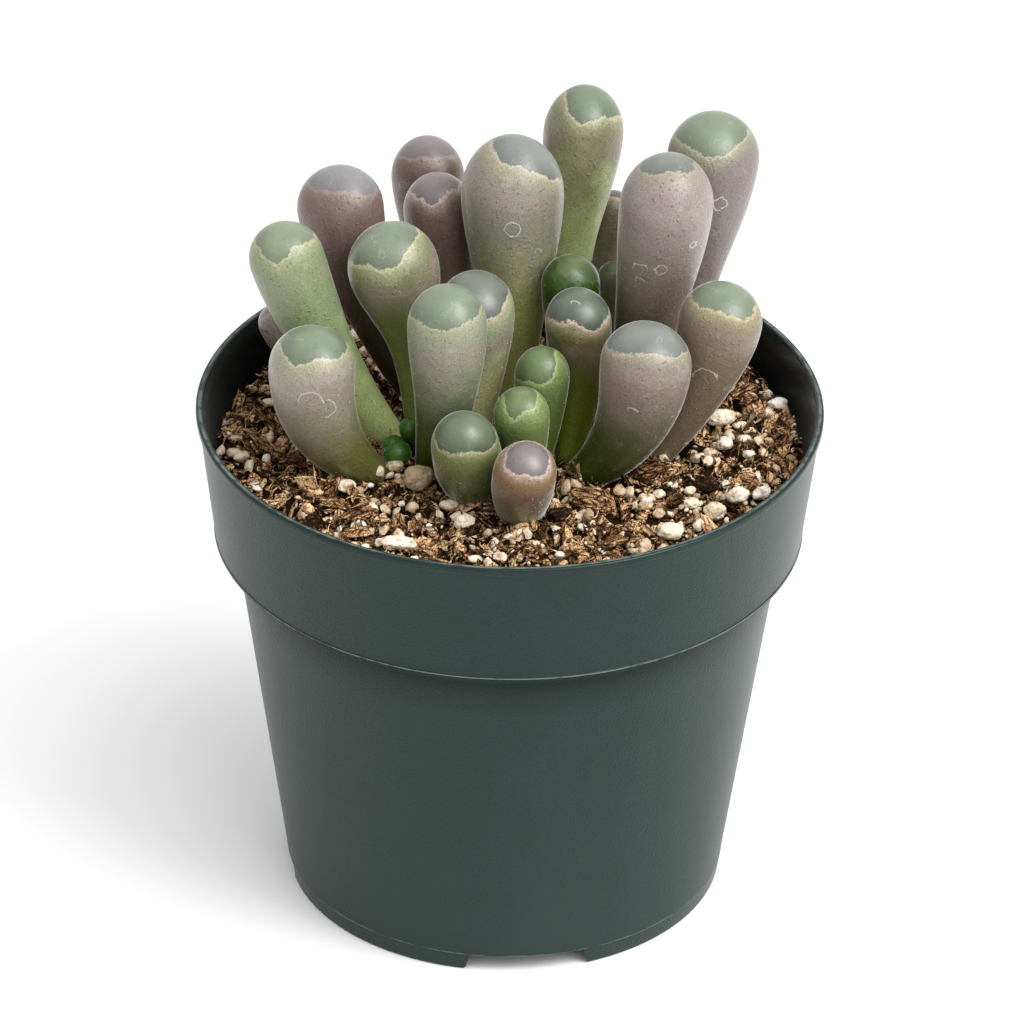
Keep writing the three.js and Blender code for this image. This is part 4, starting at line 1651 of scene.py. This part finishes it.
@dataclass
class PottingSoil:
    """The pot's fill: a peat base under shreds of bark, fibres, crumbs, perlite beads and pumice lumps."""

    clearance: float = 0.3 * MM
    litter_radius: float = 37.4 * MM
    litter_sunk: float = 0.2 * MM
    grain_stretch: tuple[float, ...] = (0.12, 1, 1)
    grain_shift: float = 50 * MM
    base_sides: int = 220
    base_rings: int = 84
    seed: int = 5
    shreds: int = 1300
    fibres: int = 2000
    crumbs: int = 1500
    beads: int = 980
    small_bias: float = 1.8
    tilt: float = 0.28
    deep_shade: float = 0.35
    sharp_from: float = 50

    def build(self) -> list[Object]:
        """Builds the base and everything that lies on it.

        Returns:
            The pieces of the soil.
        """
        rng = np.random.default_rng(self.seed)
        bark = ShreddedBark().make()
        grit = MineralGrit().make()
        return [
            self.base(),
            self.scatter("bark_shreds", rng, self.shreds, flake_forms(rng), (1, 5), 0.9, bark),
            self.scatter("bark_fibres", rng, self.fibres, fibre_forms(rng), (1.2, 3.8), 1.5, bark),
            self.scatter("coir_fibres", rng, self.fibres, fibre_forms(rng), (1, 3.4), 1.3, bark),
            self.scatter("bark_crumbs", rng, self.crumbs, lump_forms(rng, 2, 12, 0.5), (0.4, 1.9), 1.0, bark),
            self.scatter(
                "perlite_beads", rng, self.beads, lump_forms(rng, 2, 10, 0.5), (0.3, 1.8), 1.4, grit, 0.85
            ),
            self.lumps("bark_lumps", rng, BARK_LUMPS, 0.4, 0.85, bark),
            self.lumps("pumice_lumps", rng, GRIT_LUMPS, 0.25, 1.0, grit),
        ]

    def base(self) -> Object:
        """Builds the peat that fills the pot from its floor, one clearance away from the wall.

        Returns:
            The peat.
        """
        gap = POT.wall + self.clearance
        floor, ledge = POT.foot_height + gap, POT.collar_low_z + gap
        turn = np.linspace(0, 2 * math.pi, self.base_sides, endpoint=False)
        outline = [
            (POT.body_radius(floor) - gap, floor),
            (POT.body_radius(ledge) - gap, ledge),
            (POT.collar_radius(ledge) - gap, ledge),
        ]
        skin = [[(r * math.cos(a), r * math.sin(a), z) for a in turn] for r, z in outline]
        edge = POT.collar_radius(SOIL_EDGE_Z) - gap
        for ring in range(self.base_rings, 0, -1):
            r = edge * ring / self.base_rings
            skin.append([self.crumbly(r * math.cos(a), r * math.sin(a)) for a in turn])
        points = np.array(skin).reshape(-1, 3)
        poles = np.array([(0, 0, floor), self.crumbly(0, 0)])
        mesh = new_mesh("peat", np.r_[points, poles], ring_faces(len(skin), self.base_sides))
        close_ends(mesh, self.base_sides)
        return new_object("peat_base", mesh, Peat().make())

    @staticmethod
    def crumbly(x: float, y: float) -> tuple[float, float, float]:
        """Raises and sinks the peat's surface in lumps of two sizes.

        Args:
            x: how far to the right.
            y: how far to the back.

        Returns:
            The point of the surface there.
        """
        big = noise.noise(Vector((x, y, 0)) / (4.5 * MM))
        small = noise.noise(Vector((x, y, 9 * MM)) / (1.1 * MM))
        return x, y, float(litter_height(x, y)) + MM * (0.3 * big + 0.35 * small - 0.25)

    def spots(self, rng: np.random.Generator, count: int, lean: float) -> np.ndarray:
        """Picks random places on the soil, clear of the leaves' feet.

        Args:
            rng: where its random numbers come from.
            count: how many places there are.
            lean: how much rarer they are at the back left than at the front right, from 0 to 1.

        Returns:
            One row of x and y for each.
        """
        feet = np.array([[*leaf.foot, leaf.size[0] / 2 - 0.1] for leaf in LEAVES]) * MM
        found = np.zeros((0, 2))
        while len(found) < count:
            radius = self.litter_radius * np.sqrt(rng.random(count))
            turn = 2 * math.pi * rng.random(count)
            tries = np.stack([radius * np.cos(turn), radius * np.sin(turn)], 1)
            away = np.hypot(tries[:, None, 0] - feet[:, 0], tries[:, None, 1] - feet[:, 1])
            front = 0.5 + (0.7 * tries[:, 0] - 0.7 * tries[:, 1]) / (2 * self.litter_radius)
            kept = rng.random(count) > lean * (1 - front)
            found = np.r_[found, tries[kept & (away > feet[:, 2]).all(1)]]
        return found[:count]

    def scatter(
        self,
        name: str,
        rng: np.random.Generator,
        count: int,
        forms: list[Form],
        length: tuple[float, float],
        lift: float,
        material: Material,
        lean: float = 0,
    ) -> Object:
        """Strews copies of a few forms over the soil and joins them into one piece.

        Args:
            name: the piece's name.
            rng: where its random numbers come from.
            count: how many copies there are.
            forms: what is copied.
            length: the shortest and the longest copy, in millimetres.
            lift: how high the highest copy lies over the base, in millimetres.
            material: its finish.
            lean: how much rarer the copies are at the back left than at the front right.

        Returns:
            The piece.
        """
        spots = self.spots(rng, count, lean)
        kinds = rng.integers(0, len(forms), count)
        sizes = MM * (length[0] + (length[1] - length[0]) * rng.random(count) ** self.small_bias)
        turns = 2 * math.pi * rng.random(count)
        tilts = rng.normal(0, self.tilt, (count, 2))
        lifts = MM * lift * rng.random(count)
        # Painted light and shade: bark bits that lie higher are lighter and lower ones darker; the same share
        # tints the higher grit beads tan
        shades = (1 - self.deep_shade) * rng.random(count) + self.deep_shade * lifts / (MM * lift)
        litter = Litter(name)
        for kind, form in enumerate(forms):
            own = np.flatnonzero(kinds == kind)
            placed = form.points[None] * sizes[own, None, None]

            # Tilted about x and y, turned about z, and kept inside the wall
            angles = np.stack([tilts[own, 0], tilts[own, 1], turns[own]])[..., None]
            (cx, cy, cz), (sx, sy, sz) = np.cos(angles), np.sin(angles)
            x, y, z = placed[..., 0], placed[..., 1], placed[..., 2]
            y, z = cx * y - sx * z, sx * y + cx * z
            x, z = cy * x + sy * z, cy * z - sy * x
            x, y = cz * x - sz * y, sz * x + cz * y
            x, y = x + spots[own, 0, None], y + spots[own, 1, None]
            out = np.maximum(1, np.hypot(x, y) / self.litter_radius)
            x, y = x / out, y / out
            z = z + lifts[own, None] + litter_height(x, y) - self.litter_sunk

            first = len(form.points) * np.arange(len(own))[:, None, None]
            flat = placed * np.array(self.grain_stretch) + self.grain_shift * shades[own, None, None]
            litter.add(np.stack([x, y, z], -1), form.faces[None] + first, shades[own, None] + form.tone, flat)
        piece = litter.join(material)
        piece.data.set_sharp_from_angle(angle=math.radians(self.sharp_from))
        return piece

    def lumps(
        self,
        name: str,
        rng: np.random.Generator,
        rows: tuple[Lump, ...],
        rough: float,
        sunk: float,
        material: Material,
    ) -> Object:
        """Builds the big lumps in their places and joins them into one piece.

        Args:
            name: the piece's name.
            rng: where its random numbers come from.
            rows: the lumps.
            rough: how uneven they are.
            sunk: how high their middles lie, as a share of half their height.
            material: their finish.

        Returns:
            The piece.
        """
        litter = Litter(name)
        for lump in rows:
            form = lump_forms(rng, 4 if lump.length > 1.8 else 3, 1, rough)[0]
            placed = form.points * MM * np.array([lump.length, lump.breadth, lump.height])
            cos, sin = math.cos(math.radians(lump.turn)), math.sin(math.radians(lump.turn))
            spin = np.array([[cos, -sin, 0], [sin, cos, 0], [0, 0, 1]])
            x, y = lump.x * MM, lump.y * MM
            z = float(soil_height(x, y)) + sunk * lump.height * MM / 2
            flat = placed * np.array(self.grain_stretch) + self.grain_shift * rng.random()
            litter.add(placed @ spin.T + np.array([x, y, z]), form.faces, lump.shade + form.tone, flat)
        return litter.join(material)


@dataclass
class Studio:
    """The photographer's table: a white sweep, soft boxes and the camera, fitted to the photograph."""

    elevation: float = 31.385
    roll: float = 0.765
    distance: float = 1.3
    lens: float = 355.17
    sensor: float = 36
    aim: tuple[float, float, float] = (0.447, 10.262, 40)
    paper: Colour = (0.9, 0.9, 0.895, 1)
    paper_side: float = 8.0
    room_light: float = 0.94

    def build(self) -> None:
        """Sets up the camera, the lights and the floor."""
        bpy.context.scene.view_settings.view_transform = "Standard"
        self.place_camera()
        self.light_room()
        matt = {"Base Color": self.paper, "Roughness": 0.9, "Specular IOR Level": 0.1}
        paper, _ = new_material("white_paper_sweep", matt)
        half = self.paper_side / 2
        corners = np.array([(-half, -half, 0), (half, -half, 0), (half, half, 0), (-half, half, 0)])
        new_object("floor", new_mesh("sweep", corners, np.array([[0, 1, 2, 3]])), paper)

    def place_camera(self) -> None:
        """Puts the camera where the photograph was taken from."""
        tip, lean = math.radians(self.elevation), math.radians(self.roll)
        ahead = Vector((0, math.cos(tip), -math.sin(tip)))
        right = Vector((1, 0, 0))
        up = right.cross(ahead)
        aim = Vector((0, 0, self.aim[2] * MM)) + right * self.aim[0] * MM + up * self.aim[1] * MM
        across = math.cos(lean) * right + math.sin(lean) * up
        upward = math.cos(lean) * up - math.sin(lean) * right
        data = bpy.data.cameras.new("camera")
        data.lens = self.lens
        data.sensor_width = self.sensor
        data.clip_end = 20
        camera = bpy.data.objects.new("camera", data)
        bpy.context.scene.collection.objects.link(camera)
        turn = Matrix((across, upward, -ahead)).transposed().to_4x4()
        camera.matrix_world = Matrix.Translation(aim - ahead * self.distance) @ turn
        bpy.context.scene.camera = camera

    def light_room(self) -> None:
        """Lights the white room evenly and hangs a big soft box, brightest at its middle, at the right."""
        self.soft_box("key_box", (0.5, -0.42, 0.75), 1.0, 1.2, 9.5)
        self.soft_box("key_box_middle", (0.57, -0.37, 0.72), 0.95, 0.5, 5)
        world = bpy.data.worlds.new("white_room")
        world.use_nodes = True
        bpy.context.scene.world = world
        room = world.node_tree.nodes["Background"]
        room.inputs["Color"].default_value = (1, 1, 1, 1)
        room.inputs["Strength"].default_value = self.room_light

    @staticmethod
    def soft_box(name: str, way: tuple[float, float, float], far: float, side: float, power: float) -> None:
        """Hangs a square soft box that faces the plant.

        Args:
            name: the light's name.
            way: the direction to it from the plant.
            far: how far away it is, in metres.
            side: how wide it is, in metres.
            power: its strength, in watts.
        """
        data = bpy.data.lights.new(name, "AREA")
        data.shape = "SQUARE"
        data.size = side
        data.energy = power
        box = bpy.data.objects.new(name, data)
        bpy.context.scene.collection.objects.link(box)
        towards = Vector(way).normalized()
        box.location = towards * far + Vector((0, 0, 60 * MM))
        box.rotation_euler = towards.to_track_quat("Z", "Y").to_euler()


def report(piece: Object, slot: str, *nodes: str) -> None:
    """Fixes a piece to the model and logs it.

    Args:
        piece: the piece.
        slot: the record's material slot that its finish belongs to; not used.
        *nodes: the CAD nodes that it stands for.
    """
    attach(piece, BODY)
    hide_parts(*nodes)
    log.info("%s: %d faces, stands for %s", piece.name, len(piece.data.polygons), ", ".join(nodes))


def main() -> None:
    """Builds the studio, the pot, the soil and the leaves."""
    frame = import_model()
    log.info("frame: %d nodes", len(frame["nodes"]))
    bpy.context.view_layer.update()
    Studio().build()
    report(NurseryPot().build(), "pot", "pot")
    for piece in PottingSoil().build():
        report(piece, "soil", "soil")
    for place, leaf in enumerate(LEAVES, 1):
        name = f"leaf_{place:02d}"
        report(leaf.build(name, place), leaf.slot, name)


if __name__ == "__main__":
    logging.basicConfig(level=logging.INFO, format="%(message)s")
    main()
